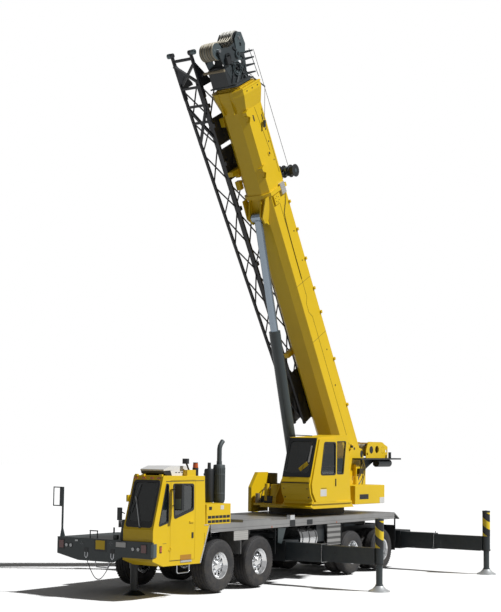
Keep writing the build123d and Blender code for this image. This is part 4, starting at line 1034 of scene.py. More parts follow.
# operator's cab
upperX = slewX + 5.45
operatorLook = {"wallIn": 0.44, "wallOut": 1.25, "wall": 0.045, "doorFace": 1.286,
                "outline": [(-3.800, 1.812), (-3.640, 2.060), (-3.600, 2.280), (-3.960, 3.400),
                            (-5.420, 3.480), (-5.550, 1.812)],
                "doorway": [(-3.900, 1.900), (-3.760, 2.090), (-3.730, 2.290), (-4.060, 3.330),
                            (-4.770, 3.330), (-4.770, 1.900)],
                "door": [(-3.870, 1.850), (-3.700, 2.080), (-3.665, 2.290), (-4.010, 3.370), (-4.815, 3.370),
                         (-4.815, 1.850)],
                "doorPane": [(-4.060, 2.500), (-4.225, 3.290), (-4.755, 3.290), (-4.755, 2.500)],
                "rearPane": [(-4.880, 2.510), (-4.860, 3.310), (-5.310, 3.320), (-5.190, 2.510)],
                "sidePane": [(-4.250, 2.480), (-4.250, 3.250), (-5.100, 3.250), (-5.100, 2.480)]}


def operatorScreen(a, b, t):
    return (upperX - 3.600 - (b - 2.280) * 0.36 / 1.12 + t, a, b)


def operatorSide(y):
    return lambda a, b, t: (upperX + a, y + t, b)


def fromUpper(outline, radius=0.0):
    moved = [(upperX + a, b) for a, b in outline]
    return rounded(moved, radius) if radius else moved


def addOperatorShell():
    # hollow body of plates, with its doorway and windows open
    wallIn, wallOut, wall = operatorLook["wallIn"], operatorLook["wallOut"], operatorLook["wall"]
    outline = fromUpper(operatorLook["outline"])
    shape = bmesh.new()
    holes = [fromUpper(operatorLook["doorway"]), fromUpper(operatorLook["rearPane"], 0.06)]
    addMesh(shape, discMesh(outline, holes, wall), acrossY(wallOut - wall / 2))
    farSide = discMesh(outline, [fromUpper(operatorLook["sidePane"], 0.06)], wall)
    addMesh(shape, farSide, acrossY(wallIn + wall / 2))
    low, high = wallIn + 0.012, wallOut - 0.012
    chin = [(-3.802, 1.815), (-3.643, 2.060), (-3.603, 2.280), (-3.657, 2.452), (-3.702, 2.440),
            (-3.648, 2.282), (-3.686, 2.075), (-3.848, 1.815)]
    lintel = [(-3.932, 3.310), (-3.963, 3.396), (-4.010, 3.380), (-3.975, 3.310)]
    roof = [(-3.963, 3.397), (-5.418, 3.477), (-5.415, 3.437), (-3.980, 3.357)]
    back = [(-5.491, 2.550), (-5.548, 1.815), (-5.503, 1.815), (-5.446, 2.550)]
    backTop = [(-5.420, 3.474), (-5.431, 3.330), (-5.386, 3.330), (-5.378, 3.440)]
    floor = [(-3.805, 1.815), (-5.545, 1.815), (-5.542, 1.850), (-3.785, 1.850)]
    for strip in (chin, lintel, roof, back, backTop, floor):
        addPrism(shape, fromUpper(strip), "y", low, high)
    post = fromUpper([(-5.429, 3.340), (-5.491, 2.540), (-5.446, 2.540), (-5.384, 3.340)])
    for near, far in ((low, low + 0.09), (high - 0.09, high)):     # posts beside the rear window
        addPrism(shape, post, "y", near, far)
    sill = [(-3.745, 1.800), (-3.705, 1.818), (-3.760, 1.905), (-3.800, 1.905)]
    rail = [(-3.745, 1.800), (-3.790, 1.850), (-5.550, 1.850), (-5.560, 1.800)]
    addPrism(shape, fromUpper(sill), "y", wallIn, wallOut + 0.012)
    addPrism(shape, fromUpper(rail), "y", wallOut - 0.002, wallOut + 0.034)
    piece("operatorCabShell", shape, yellow, "upper", bevel=0.005, stands=["upper_cab"])


def addOperatorDoor():
    # sliding door as one plate with its window
    shape = bmesh.new()
    hole = fromUpper(operatorLook["doorPane"], 0.08)
    plate = discMesh(fromUpper(operatorLook["door"], 0.05), [hole], 0.030)
    addMesh(shape, plate, acrossY(operatorLook["doorFace"] - 0.015))
    piece("operatorDoorPanel", shape, yellow, "upper_door", bevel=0.004,
          stands=["upper_door"])


def addOperatorPanes():
    # windscreen, the two fixed side panes, and the door's pane on the door's body
    wallIn, wallOut = operatorLook["wallIn"], operatorLook["wallOut"]
    shape = bmesh.new()
    addPanel(shape, oblong((wallIn + wallOut) / 2, 2.925, 0.70, 0.80), operatorScreen, -0.020, -0.008)
    addPanel(shape, operatorLook["sidePane"], operatorSide(wallIn), 0.014, 0.024)
    addPanel(shape, operatorLook["rearPane"], operatorSide(wallOut), -0.026, -0.016, paleGlass)
    piece("operatorCabPanes", shape, glass, "upper", stands=["upper_cab_glass"])
    shape = bmesh.new()
    addPanel(shape, operatorLook["doorPane"], operatorSide(operatorLook["doorFace"]), -0.022, -0.012)
    piece("operatorDoorPane", shape, glass, "upper_door", stands=["upper_door_glass"])


def addScreenRubber():
    wallIn, wallOut = operatorLook["wallIn"], operatorLook["wallOut"]
    across = (wallIn + wallOut) / 2
    shape = bmesh.new()
    outer = rounded(oblong(across, 2.920, wallOut - wallIn - 0.012, 0.94), 0.05)
    inner = rounded(oblong(across, 2.930, 0.67, 0.75), 0.09)
    addFrame(shape, outer, inner, operatorScreen, -0.008, 0.012)
    addSeal(shape, operatorLook["rearPane"], operatorSide(wallOut), -0.006, 0.002, 0.010, 0.018, 0.06)
    blind = [(-4.89, 2.53), (-4.88, 2.90), (-5.22, 2.90), (-5.18, 2.53)]
    addPanel(shape, blind, operatorSide(wallOut - 0.03), -0.006, 0.0)
    piece("operatorScreenRubber", shape, plastic, "upper", bevel=0.003)


def addDoorRubber():
    # seal, rail across the pane, blank sign and handle
    face = operatorLook["doorFace"]
    shape = bmesh.new()
    addSeal(shape, operatorLook["doorPane"], operatorSide(face), -0.006, 0.006, 0.012, 0.025, 0.08)
    addBlocks(shape, (upperX, face, 0), [
        ((-4.73, -0.014, 2.700), (-4.13, -0.004, 2.718), None),
        ((-4.335, -0.002, 1.985), (-4.055, 0.003, 2.150), label),
        ((-4.330, -0.002, 2.172), (-4.080, 0.003, 2.186), None),
        ((-4.770, -0.002, 2.22), (-4.735, 0.016, 2.40), None)])
    piece("operatorDoorRubber", shape, rubber, "upper_door", bevel=0.003)


def addOperatorTrim():
    # lip, bolts and lower frame under the screen, wiper, and the cable over the roof with its box
    wallIn, wallOut = operatorLook["wallIn"], operatorLook["wallOut"]
    across = (wallIn + wallOut) / 2
    shape = bmesh.new()
    lip = [(-3.60, 2.335), (-3.585, 2.335), (-3.640, 2.440), (-3.665, 2.440)]
    gap = [(-3.63, 2.300), (-3.598, 2.300), (-3.604, 2.318), (-3.63, 2.318)]
    addPrism(shape, fromUpper(lip), "y", wallIn + 0.01, wallOut - 0.01)
    addPrism(shape, fromUpper(gap), "y", wallIn + 0.004, wallOut - 0.004, plastic)
    for y in (wallIn + 0.07, wallOut - 0.07):
        for z in (1.96, 2.17):
            tip = upperX - 3.612 - (2.17 - z) * 0.25
            addRod(shape, (upperX - 3.70, y, z), (tip, y, z), 0.013, sides=8, look=plastic)
    lower = lambda a, b, t: (upperX - 3.640 - (2.06 - b) * 0.64 + t, a, b)
    addFrame(shape, oblong(across, 1.95, 0.74, 0.17), oblong(across, 1.95, 0.68, 0.12), lower, -0.004, 0.004)
    notice = [(1.105, 2.80), (1.150, 2.80), (1.160, 3.20), (1.120, 3.20)]
    addPanel(shape, notice, operatorScreen, 0.010, 0.016, label)
    addBar(shape, operatorScreen(0.90, 2.62, 0.0), operatorScreen(1.10, 2.78, 0.0), 0.03, 0.095)
    addBar(shape, operatorScreen(1.12, 3.28, 0.018), operatorScreen(0.98, 2.62, 0.018), 0.010, 0.010, plastic)
    cable = [(-4.0, -0.03, 3.37), (-4.0, -0.02, 3.46), (-3.98, 0.35, 3.45), (-4.02, 0.62, 3.44)]
    addPipe(shape, [(upperX + a, wallIn + b, c) for a, b, c in cable], 0.012, 8, look=plastic)
    addBlock(shape, (upperX - 4.03, 0.40, 3.33), (upperX - 3.90, 0.46, 3.42), plastic)
    piece("operatorCabTrim", shape, yellow, "upper", bevel=0.003)


addOperatorShell()
addOperatorDoor()
addOperatorPanes()
addScreenRubber()
addDoorRubber()
addOperatorTrim()
print("operator's cab made")

# upper works: labels, hoses, hoists
upperLook = {"boxFace": 1.25, "hoseRadius": 0.013, "hoses": 4, "grilleBars": 5}
hoistLook = {"cheek": 0.392, "height": 3.11, "turns": 26, "rope": 0.0125,
             "holes": ((0.10, 20, -8.37, 3.12), (0.045, 12, -8.88, 3.08), (0.04, 12, -7.85, 3.0))}


def addUpperPlates(shape, clearZ):
    # signs and grille on the side box, the slew ring's skirt, and the wall that stands across the upper; the
    # skirt and the wall are dark brown as painted shade
    addBlocks(shape, (upperX, upperLook["boxFace"], 0), [
        ((-7.265, -0.002, 1.745), (-7.020, 0.003, 1.895), None),
        ((-6.440, -0.002, 1.865), (-5.990, 0.003, 1.990), iron)])
    y = upperLook["boxFace"]
    for k in range(upperLook["grilleBars"]):
        z = 1.876 + k * 0.024
        addBlock(shape, (upperX - 6.43, y, z), (upperX - 6.00, y + 0.006, z + 0.008), plastic)
    addBlock(shape, (upperX - 5.775, 0.85, 1.745), (upperX - 5.768, 1.23, 2.20), yellow)
    # skirt ring in dark brown instead of yellow: painted shade under the cab
    skirt = [(1.540, 0.935), (1.540, 0.960), (1.690, 0.960), (1.690, 0.935)]
    addTurned(shape, skirt, (slewX, 0, 0), alongZ, 72, True, seamDarkAndPaintedShade)
    # cross wall in dark brown instead of yellow: painted shade
    addBlocks(shape, (upperX, 0, 0), [
        ((-5.46, -1.145, 1.745), (-5.39, -0.41, clearZ), seamDarkAndPaintedShade),
        ((-5.46, -1.145, clearZ), (-5.39, -0.90, 2.49), seamDarkAndPaintedShade)])      # beside the jib's way down
    addPanel(shape, circle(0.10, 24, (-7.53, 3.00), 0.7), operatorSide(0.405), -0.002, 0.003, plastic)
    addPanel(shape, circle(0.035, 16, (-7.15, 3.14)), operatorSide(0.405), -0.002, 0.006, plastic)
    addBlock(shape, (upperX - 7.0, 0.40, 3.16), (upperX - 6.94, 0.46, 3.22), plastic)


def addValveGroup(shape, clearZ):
    # lines, fittings, a small motor and the drum between the housing and the cab
    for k in range(upperLook["hoses"]):
        y = -1.06 + k * 0.19 - 0.03 * (k % 2)
        line = [(-5.37, 0.0, clearZ - 0.05), (-5.1, 0.03, clearZ - 0.02 - 0.02 * k), (-4.86, 0.05, 1.88),
                (-4.90, 0.02, 1.75)]
        addPipe(shape, [(upperX + a, y + b, c) for a, b, c in line], upperLook["hoseRadius"], 8, look=plastic)
    for k, y in enumerate((-1.02, -0.86, -0.70, -0.55)):
        top = 1.86 + 0.05 * (k % 2)
        addRod(shape, (upperX - 4.88, y, 1.74), (upperX - 4.86, y, top), 0.035, sides=12, look=steel)
    cans = [(-4.86, -0.82, 1.80, clearZ, 0.075, 0.06, 20, yellow),
            (-4.98, -0.62, 1.745, clearZ - 0.02, 0.17, 0.13, 32, yellow),
            (-4.74, -1.02, 1.745, 1.98, 0.065, 0.06, 20, tanRope)]
    for a, y, low, high, radius, tip, sides, look in cans:
        addRod(shape, (upperX + a, y, low), (upperX + a, y, high), radius, tip, sides, look)
    addBlock(shape, (upperX - 5.10, -0.95, 1.745), (upperX - 4.80, -0.62, 1.92), iron)


def addBehindCab(shape):
    # valve block beside the boom's foot, its hoses, and the hose along the cab
    addBlocks(shape, (upperX, 0, 0), [
        ((-7.42, 0.41, 2.42), (-7.08, 0.50, 2.72), yellow),
        ((-7.36, 0.50, 2.48), (-7.14, 0.58, 2.62), seamDarkAndPaintedShade)])
    addRod(shape, (upperX - 6.86, 0.62, 2.21), (upperX - 6.86, 0.62, 2.42), 0.07, 0.06, sides=20, look=yellow)
    for k, drop in enumerate((0.0, 0.10, 0.04)):
        line = [(-7.40 + 0.06 * k, 0.45 + 0.05 * k, 2.86), (-7.34 - 0.04 * k, 0.52 + 0.04 * k, 2.62 - drop),
                (-7.12, 0.60 + 0.05 * k, 2.40 - drop), (-6.95 - 0.05 * k, 0.56 + 0.07 * k, 2.21)]
        addPipe(shape, [(upperX + a, b, c) for a, b, c in line], 0.012, 8, look=plastic)
    line = [(-3.80, 0.42, 1.80), (-4.0, 0.36, 2.05), (-4.4, 0.30, 2.10), (-4.75, 0.20, 1.95)]
    addPipe(shape, [(upperX + a, b, c) for a, b, c in line], 0.022, 8, look=plastic)


def addUpperTrim():
    shape = bmesh.new()
    clearZ = boomFoot.z - 0.67                               # the stowed jib passes above this
    addUpperPlates(shape, clearZ)
    addValveGroup(shape, clearZ)
    addBehindCab(shape)
    outer, inner = circle(0.955, 60, (slewX, 0)), circle(0.90, 60, (slewX, 0))
    addFrame(shape, outer, inner, axisPoint["z"], 1.500, 1.534, plastic)
    piece("upperTrim", shape, label, "upper", bevel=0.002)


def addHoistCheeks(shape):
    outline = [(-8.955, 2.895), (-8.955, 3.20), (-8.60, 3.325), (-7.90, 3.325), (-7.785, 3.10),
               (-7.785, 2.895)]
    holes = [circle(radius, count, (upperX + a, b)) for radius, count, a, b in hoistLook["holes"]]
    for side in (1, -1):
        y = side * hoistLook["cheek"]
        addMesh(shape, discMesh(fromUpper(outline), holes, 0.018), acrossY(y))
        addBar(shape, (upperX - 8.95, y, 2.90), (upperX - 7.79, y, 2.90), 0.02, 0.02)


def addHoistDrum(shape, x, z, capLook):
    # drum with its flanges, the wound rope, a cap on each end and the bar above
    half = [(0.338, 0.150), (0.345, 0.212), (0.365, 0.212), (0.375, 0.05)]
    profile = [(-a, r) for a, r in half[::-1]] + half
    addTurned(shape, profile, (x, 0, z), alongY, 40)
    addCoil(shape, (x, 0, z), "y", 0.162, 0.64, hoistLook["turns"], hoistLook["rope"], tanRope)
    addRod(shape, (x, 0.385, z), (x, 0.402, z), 0.10, sides=28, look=capLook)
    addBolts(shape, (x, 0.400, z), "y", 0.085, 8, 0.009, 0.006, plastic)
    addRod(shape, (x, -0.385, z), (x, -0.404, z), 0.10, sides=28, look=plastic)
    addBar(shape, (x + 0.18, -0.375, z + 0.18), (x + 0.18, 0.375, z + 0.18), 0.03, 0.03)


def addHoists():
    shape = bmesh.new()
    addHoistCheeks(shape)
    addHoistDrum(shape, upperX - 8.06, hoistLook["height"], plastic)
    addHoistDrum(shape, upperX - 8.68, hoistLook["height"], yellow)
    line = [(-8.35, 0.375, 3.20), (-8.30, 0.36, 3.30), (-8.0, 0.34, 3.325), (-7.8, 0.30, 3.20)]
    addPipe(shape, [(upperX + a, b, c) for a, b, c in line], 0.016, 8, look=plastic)
    piece("ropeHoists", shape, yellow, "upper", bevel=0.003, stands=["hoists"])


addUpperTrim()
addHoists()
print("upper works made")

# sheave head at the boom's tip
headLook = {"start": 10.39, "cheek": 0.246, "topPin": (1.00, 0.37), "lowPin": (0.93, -0.56),
            "topSheaves": (-0.15, -0.05, 0.05, 0.15), "topPlates": (-0.20, -0.10, 0.0, 0.10, 0.20),
            "lowSheaves": (-0.16, -0.08, 0.0, 0.08, 0.16)}


def addHeadCheeks(shape, x, w):
    # the two side plates with their ear plates, the foot plates and the box between
    outline = [(0.060, -0.340), (0.060, 0.300), (0.480, 0.420), (0.870, 0.470), (0.960, 0.260),
               (0.930, 0.060), (0.900, -0.120), (0.960, -0.420), (0.930, -0.620), (0.700, -0.560),
               (0.350, -0.460)]
    ear = [(0.70, 0.10), (0.62, 0.46), (0.80, 0.56), (1.10, 0.52), (1.15, 0.36), (1.02, 0.18)]
    holes = [circle(0.075, 20, (x + 0.45, 0.16)), circle(0.05, 16, (x + 0.62, -0.22)),
             circle(0.035, 12, (x + 0.22, 0.10))]
    for side in (1, -1):
        addMesh(shape, discMesh(shifted(outline, x), holes, 0.024), acrossY(side * (w - 0.013)))
        earPlate = discMesh(shifted(ear, x), [circle(0.05, 16, (x + 0.84, 0.34))], 0.016)
        addMesh(shape, earPlate, acrossY(side * (w + 0.010)), steelGrey)
    addBlocks(shape, (x, 0, 0), [
        ((0.002, -0.388, -0.464), (0.034, 0.388, 0.332), None),
        ((0.034, -0.34, -0.42), (0.068, 0.34, 0.29), darkFrame),
        ((0.065, -w + 0.005, -0.555), (0.50, w - 0.005, -0.225), darkFrame),
        ((0.10, -0.20, -0.23), (0.42, 0.20, 0.24), darkFrame)])
    for k in range(4):
        start, look = x + 0.16 + k * 0.11, steelGrey if k % 2 else darkFrame
        addBar(shape, (start, w - 0.002, -0.33), (start + 0.04, w - 0.002, 0.28), 0.014, 0.030, look)


def grooved(half, out, bottom):
    # section of a sheave with its rope groove
    return [(-half, 0.045), (-half, out), (-half * 0.6, out), (0, bottom), (half * 0.6, out), (half, out),
            (half, 0.045)]


def ropeSection(across, height, radius):
    turns = [k * pi / 3 for k in range(6)]
    return [(across + cos(a) * radius, height + sin(a) * radius) for a in turns]


def addTopSheaves(shape, x):
    a, b = headLook["topPin"]
    for y in headLook["topSheaves"]:
        addTurned(shape, grooved(0.028, 0.186, 0.158), (x + a, y, b), alongY, 44, True, nylon)
        addTurned(shape, ropeSection(0, 0.166, 0.009), (x + a, y, b), alongY, 44, True, rope)
    for y in headLook["topPlates"]:
        disc = circle(0.165, 28, (x + a, b))
        addPrism(shape, disc, "y", y - 0.006, y + 0.006, darkFrame)


def addLowSheaves(shape, x):
    # each with three turns of rope and the part that runs up behind it
    a, b = headLook["lowPin"]
    for n, y in enumerate(headLook["lowSheaves"]):
        addTurned(shape, grooved(0.036, 0.200, 0.176), (x + a, y, b), alongY, 44, True, steelGrey)
        for k in (-1, 0, 1):
            turn = ropeSection(k * 0.021, 0.199, 0.0105)
            addTurned(shape, turn, (x + a, y, b), alongY, 44, True, rope if (n + k) % 3 else tanRope)
        line = [(1.13, y, -0.50), (1.10, y, -0.20), (0.99, y * 0.9, 0.02), (1.10, y * 0.9, 0.24)]
        addPipe(shape, [(x + p, q, r) for p, q, r in line], 0.011, 8, look=rope)


def addHeadPins(shape, x, w):
    pins = [(1.00, 0.37, w + 0.035, w + 0.035, 0.040, 20, steel),
            (0.93, -0.56, w + 0.030, w + 0.030, 0.045, 20, steel),
            (0.46, -0.60, w + 0.09, w + 0.02, 0.034, 16, tanRope)]
    for a, b, right, left, radius, sides, look in pins:
        addRod(shape, (x + a, -right, b), (x + a, left, b), radius, sides=sides, look=look)
    addBolts(shape, (x + 1.00, w + 0.020, 0.37), "y", 0.075, 6, 0.010, 0.010, steel)


def addSideGuides(shape, x, w):
    # rope and cable guides outside the cheek, with the straps between them
    guides = [(0.36, -0.06, 0.175, steelGrey), (0.70, -0.30, 0.11, darkFrame), (0.66, 0.12, 0.085, steelGrey)]
    for a, b, wide, look in guides:
        for share in (1.0, 0.72):
            out = wide * share
            ring = [(-0.016, out - 0.016), (-0.016, out), (0.016, out), (0.016, out - 0.016)]
            addTurned(shape, ring, (x + a, w + 0.022, b), alongY, 36, True, look)
        addRod(shape, (x + a, w - 0.01, b), (x + a, w + 0.045, b), 0.028, sides=16, look=plastic)
    straps = [((0.06, 0.30), (0.60, -0.32)), ((0.10, -0.40), (0.52, -0.10)), ((0.50, 0.36), (0.86, 0.02)),
              ((0.04, -0.02), (0.34, 0.34))]
    for a, b in straps:
        addBar(shape, (x + a[0], w + 0.014, a[1]), (x + b[0], w + 0.014, b[1]), 0.018, 0.050, darkFrame)


def addUpperGuides(shape, x, w):
    # rope guides that stand out of the upper edge
    for start, reach in ((0.12, 0.700), (0.30, 0.760), (0.46, 0.800), (0.62, 0.825)):
        for side in (1, -1):
            y = side * (w - 0.012)
            addBar(shape, (x + start, y, 0.25), (x + start - 0.06, y, reach), 0.020, 0.034, darkFrame)
        a = x + start - 0.06
        addRod(shape, (a, -w + 0.01, reach), (a, w - 0.01, reach), 0.020, sides=12, look=steelGrey)
    for a, b in (((0.65, 0.64), (-0.08, 0.72)), ((0.48, 0.27), (-0.04, 0.28))):
        addBar(shape, (x + a[0], w + 0.030, a[1]), (x + b[0], w + 0.030, b[1]), 0.012, 0.012, steelGrey)


def addHeadFittings(shape, x, w):
    # braces to the mouth, cable box, its cable, and the bolts on the foot plate
    for y in (-0.30, 0.30):
        addBar(shape, (x + 0.03, y, -0.30), (x + 0.32, y * 0.80, 0.10), 0.016, 0.05)
        addBar(shape, (x + 0.03, y, 0.20), (x + 0.30, y * 0.80, 0.10), 0.016, 0.05)
    addBlock(shape, (x + 0.55, w + 0.004, -0.44), (x + 0.72, w + 0.075, -0.30), plastic)
    cable = [(0.62, 0.05, -0.33), (0.50, 0.10, -0.10), (0.30, 0.06, 0.10), (0.05, 0.10, 0.34)]
    addPipe(shape, [(x + a, w + b, c) for a, b, c in cable], 0.010, 8, look=plastic)
    for y in (0.30, -0.30):
        addBolts(shape, (x + 0.034, y, -0.36), "x", 0.045, 4, 0.010, 0.010, steel)


def addHead():
    shape = bmesh.new()
    x, w = headLook["start"], headLook["cheek"]
    addHeadCheeks(shape, x, w)
    addTopSheaves(shape, x)
    addLowSheaves(shape, x)
    addHeadPins(shape, x, w)
    addSideGuides(shape, x, w)
    addUpperGuides(shape, x, w)
    addHeadFittings(shape, x, w)
    piece("boomTipHead", shape, headGrey, bodyOf("boom_head"), place=boomPlace,
          stands=["boom_head"])


addHead()
print("head made")

# boom dressing: seams, slots, mouth frame, cable
boomLook = {"side": 0.350, "top": 0.394, "bottom": -0.466, "seamWidth": 0.008,
            "guards": (1.35, 2.70, 4.05, 4.72, 5.55, 6.35, 7.10),
            "holes": ((9.09, 0.27, 0.026), (8.78, 0.25, 0.022), (8.30, 0.26, 0.018), (6.40, 0.24, 0.022),
                      (5.60, 0.24, 0.018), (3.10, 0.20, 0.022), (2.10, 0.12, 0.026), (0.35, 0.05, 0.030))}
reelLook = {"place": (7.82, 0.33), "above": 0.33, "radius": 0.160, "half": 0.245, "gap": 0.09}


def boomSide(a, b, t):
    return (a, boomLook["side"] + t, b)


def addBoomSide(shape):
    # seams, slots and holes of the near side
    line = [(0.4, -0.02), (4.15, -0.02), (4.30, -0.12), (4.55, -0.12), (4.70, -0.02), (7.55, -0.02)]
    seams = [(a, b, boomLook["seamWidth"]) for a, b in zip(line, line[1:])]
    seams += [((8.56, 0.20), (9.72, 0.06), 0.008), ((7.95, 0.33), (9.60, 0.33), 0.010)]
    seams += [((a, -0.31), (a, 0.39), 0.007) for a in (3.55, 5.10, 7.62)]
    for a, b, width in seams:
        addBar(shape, boomSide(*a, 0.0), boomSide(*b, 0.0), width, 0.006)
    for a, b, radius in boomLook["holes"]:
        addPanel(shape, circle(radius, 14, (a, b)), boomSide, -0.004, 0.003)
    for a, b, wide, high, radius in ((9.49, -0.10, 0.16, 0.05, 0.025), (9.40, 0.27, 0.14, 0.04, 0.02)):
        addPanel(shape, rounded(oblong(a, b, wide, high), radius), boomSide, -0.004, 0.004)
    inside = circle(0.036, 24, (8.51, 0.13))
    addFrame(shape, circle(0.062, 24, (8.51, 0.13)), inside, boomSide, -0.004, 0.012, yellow)
    addPanel(shape, inside, boomSide, -0.004, 0.004)


def addBoomFittings(shape, side, top):
    for a in boomLook["guards"]:                              # small rope guards on the upper edge
        addBlock(shape, (a, side - 0.03, top - 0.02), (a + 0.07, side + 0.035, top + 0.035), yellow)
        pinX, pinY = a + 0.035, side + 0.005
        addRod(shape, (pinX, pinY, top + 0.01), (pinX, pinY, top + 0.055), 0.014, sides=10)
    for a, b in ((9.55, -0.30), (8.25, -0.32), (7.95, -0.42)):          # brackets that carry the jib
        addBlock(shape, (a - 0.11, -0.455, b - 0.07), (a + 0.11, -0.335, b + 0.07), yellow)
        addRod(shape, (a, -0.46, b), (a, -0.40, b), 0.04, sides=14)
    addBlock(shape, (7.42, side - 0.005, 0.13), (7.70, side + 0.055, 0.33), stepMetal)
    addBlock(shape, (7.28, side - 0.005, -0.26), (7.52, side + 0.040, -0.02), yellow)
    addBolts(shape, (7.40, side + 0.040, -0.14), "y", 0.075, 6, 0.010, 0.008)
    cable = [(7.60, 0.03, 0.36), (7.30, 0.02, 0.30), (7.05, 0.012, 0.10), (6.9, 0.010, -0.02),
             (5.2, 0.010, -0.025)]
    addPipe(shape, [(a, side + b, c) for a, b, c in cable], 0.008, 6)


def addBoomMouth(shape, side, top, bottom):
    # ribs on the flared mouth, hooked brackets below it, bolts and lower lugs
    for a, flare in ((10.035, 0.060), (10.285, 0.101)):
        wide, up, down, cut = side + flare, top + flare * 0.7, bottom - flare * 0.9, 0.15 + flare * 0.4
        ring = [(-wide, up), (-wide, down + cut), (-wide + cut, down), (wide - cut, down), (wide, down + cut),
                (wide, up)]
        outer, inner = grown(ring, 0.010), grown(ring, -0.02)
        addFrame(shape, outer, inner, axisPoint["x"], a - 0.022, a + 0.006, yellow)
    hooked = [(-0.16, -0.10), (-0.05, -0.02), (0.02, -0.13), (0.10, -0.14), (0.16, -0.02), (0.10, 0.10),
              (-0.10, 0.08)]
    for a, b in ((9.62, -0.27), (8.20, -0.27)):
        addPrism(shape, [(a + p, b + q) for p, q in hooked], "y", side - 0.09, side + 0.045, yellow)
    for b in (-0.20, 0.05, 0.30):
        addRod(shape, (10.20, side + 0.095, b), (10.20, side + 0.112, b), 0.016, sides=8)
    for y in (-0.15, 0.15):
        addBlock(shape, (9.75, y - 0.015, bottom - 0.10), (10.25, y + 0.015, bottom + 0.005), yellow)


def addBoomTrim():
    side, top, bottom = boomLook["side"], boomLook["top"], boomLook["bottom"]
    shape = bmesh.new()
    addBoomSide(shape)
    addBoomFittings(shape, side, top)
    addBoomMouth(shape, side, top, bottom)
    piece("boomTrim", shape, seamDarkAndPaintedShade, bodyOf("boom_base"), place=boomPlace)


def addLengthCable():
    # from the reel out to the head
    shape = bmesh.new()
    addPipe(shape, [(10.98, 0.30, 0.78), (7.84, 0.30, 0.86)], 0.0075, 6, False)
    piece("lengthCable", shape, wire, bodyOf("boom_head"), place=boomPlace)


def addLimitWeight():
    # hangs plumb from an arm on the head
    shape = bmesh.new()
    hang = boomPlace @ Vector((10.05, 0.41, 0.66))
    end = hang - Vector((0, 0, 0.85))
    addPipe(shape, [hang, end], 0.008, 6, False)
    addRod(shape, end, hang - Vector((0, 0, 1.02)), 0.040, 0.032, sides=16, look=headGrey)
    addBar(shape, boomPlace @ Vector((10.42, 0.36, 0.30)), hang, 0.03, 0.02, headGrey)
    piece("hoistLimitWeight", shape, tanRope, bodyOf("boom_head"))


def addReel():
    # two dark drums on one shaft with a pale flange between
    shape = bmesh.new()
    x, y = reelLook["place"]
    top, out, half, gap = boomLook["top"], reelLook["radius"], reelLook["half"], reelLook["gap"]
    z = top + reelLook["above"]
    for a, b in ((-half, -gap), (gap, half)):
        drum = [(a, 0.02), (a, out), (a + 0.018, out), (a + 0.022, out - 0.035), (b - 0.022, out - 0.035),
                (b - 0.018, out), (b, out), (b, 0.02)]
        addTurned(shape, drum, (x, y, z), alongY, 36)
    flange = [(-0.03, 0.02), (-0.03, 0.125), (0.03, 0.125), (0.03, 0.02)]
    addTurned(shape, flange, (x, y, z), alongY, 30, look=steelGrey)
    addRod(shape, (x, y - 0.25, z), (x, y + 0.25, z), 0.045, sides=18, look=steelGrey)
    addBlock(shape, (x - 0.045, y - 0.04, top + 0.0004), (x + 0.045, y + 0.012, z - 0.06))
    addBlock(shape, (x - 0.09, y - 0.06, top + 0.0004), (x + 0.09, y + 0.016, top + 0.03))
    piece("cableReels", shape, plastic, bodyOf("cable_reel"), place=boomPlace, bevel=0.003,
          stands=["cable_reel"])


addBoomTrim()
addLengthCable()
addLimitWeight()
addReel()
print("boom dressed")

# outriggers, deck edge and side gear
gearLook = {"sleeve": 0.095, "tube": 0.074, "float": 0.245, "side": 1.295, "straps": (3.34, 3.64, 3.94),
            "bottles": ((-1.32, 1.02), (-1.46, 0.90), (-1.32, 0.86))}
jibLook = {"rollers": (-0.42, -1.13), "webs": (10.12, 10.58),
           "hangers": ((10.08, -0.62), (9.58, -0.60), (8.60, -0.58), (7.40, -0.57), (5.90, -0.55),
                       (4.30, -0.52)),
           "braces": ((9.15, -0.50, -1.05, 0.95), (9.15, -1.05, -0.50, 0.95), (10.62, -0.50, -1.10, 0.55),
                      (10.62, -1.10, -0.50, 0.55))}


def shortened(node, at, way):
    # the CAD beam up to one place along Y, closed there again
    shape = bmesh.new()
    shape.from_mesh(nodes[node].data)
    bmesh.ops.remove_doubles(shape, verts=shape.verts[:], dist=1e-5)
    cut = bmesh.ops.bisect_plane(shape, geom=shape.verts[:] + shape.edges[:] + shape.faces[:],
                                 plane_co=(0, at, 0), plane_no=(0, way, 0), clear_outer=True)["geom_cut"]
    bmesh.ops.holes_fill(shape, edges=[g for g in cut if isinstance(g, bmesh.types.BMEdge)])
    bmesh.ops.dissolve_limit(shape, angle_limit=radians(0.8), verts=shape.verts[:], edges=shape.edges[:])
    paint(shape, beamPaint)
    return shape


def addBeamEnd(node, name, way):
    # frame round the outer beam's open end, with its pin and two pads
    low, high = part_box(node)
    x, middleZ, tall, wide = (low.x + high.x) / 2, (low.z + high.z) / 2, high.z - low.z, high.x - low.x
    tip = high.y if way > 0 else low.y
    shape = bmesh.new()
    ring = lambda a, b, t: (x + a, t, b)
    outer = oblong(0, middleZ, wide + 0.006, tall + 0.006)
    inner = oblong(0, middleZ, wide - 0.02, tall - 0.02)
    addFrame(shape, outer, inner, ring, tip - way * 0.022, tip - way * 0.002)
    pinY = tip - way * 0.013
    addRod(shape, (x, pinY, high.z - 0.002), (x, pinY, high.z + 0.05), 0.010, sides=14, look=plastic)
    padY = tip - way * 0.40
    for a in (-1, 1):
        start, end = x + a * wide / 2, x + a * (wide / 2 + 0.002)
        addRod(shape, (start, padY, middleZ), (end, padY, middleZ), 0.030, sides=20, look=plastic)
    piece(name, shape, alloy, bodyOf(node), bevel=0.002)


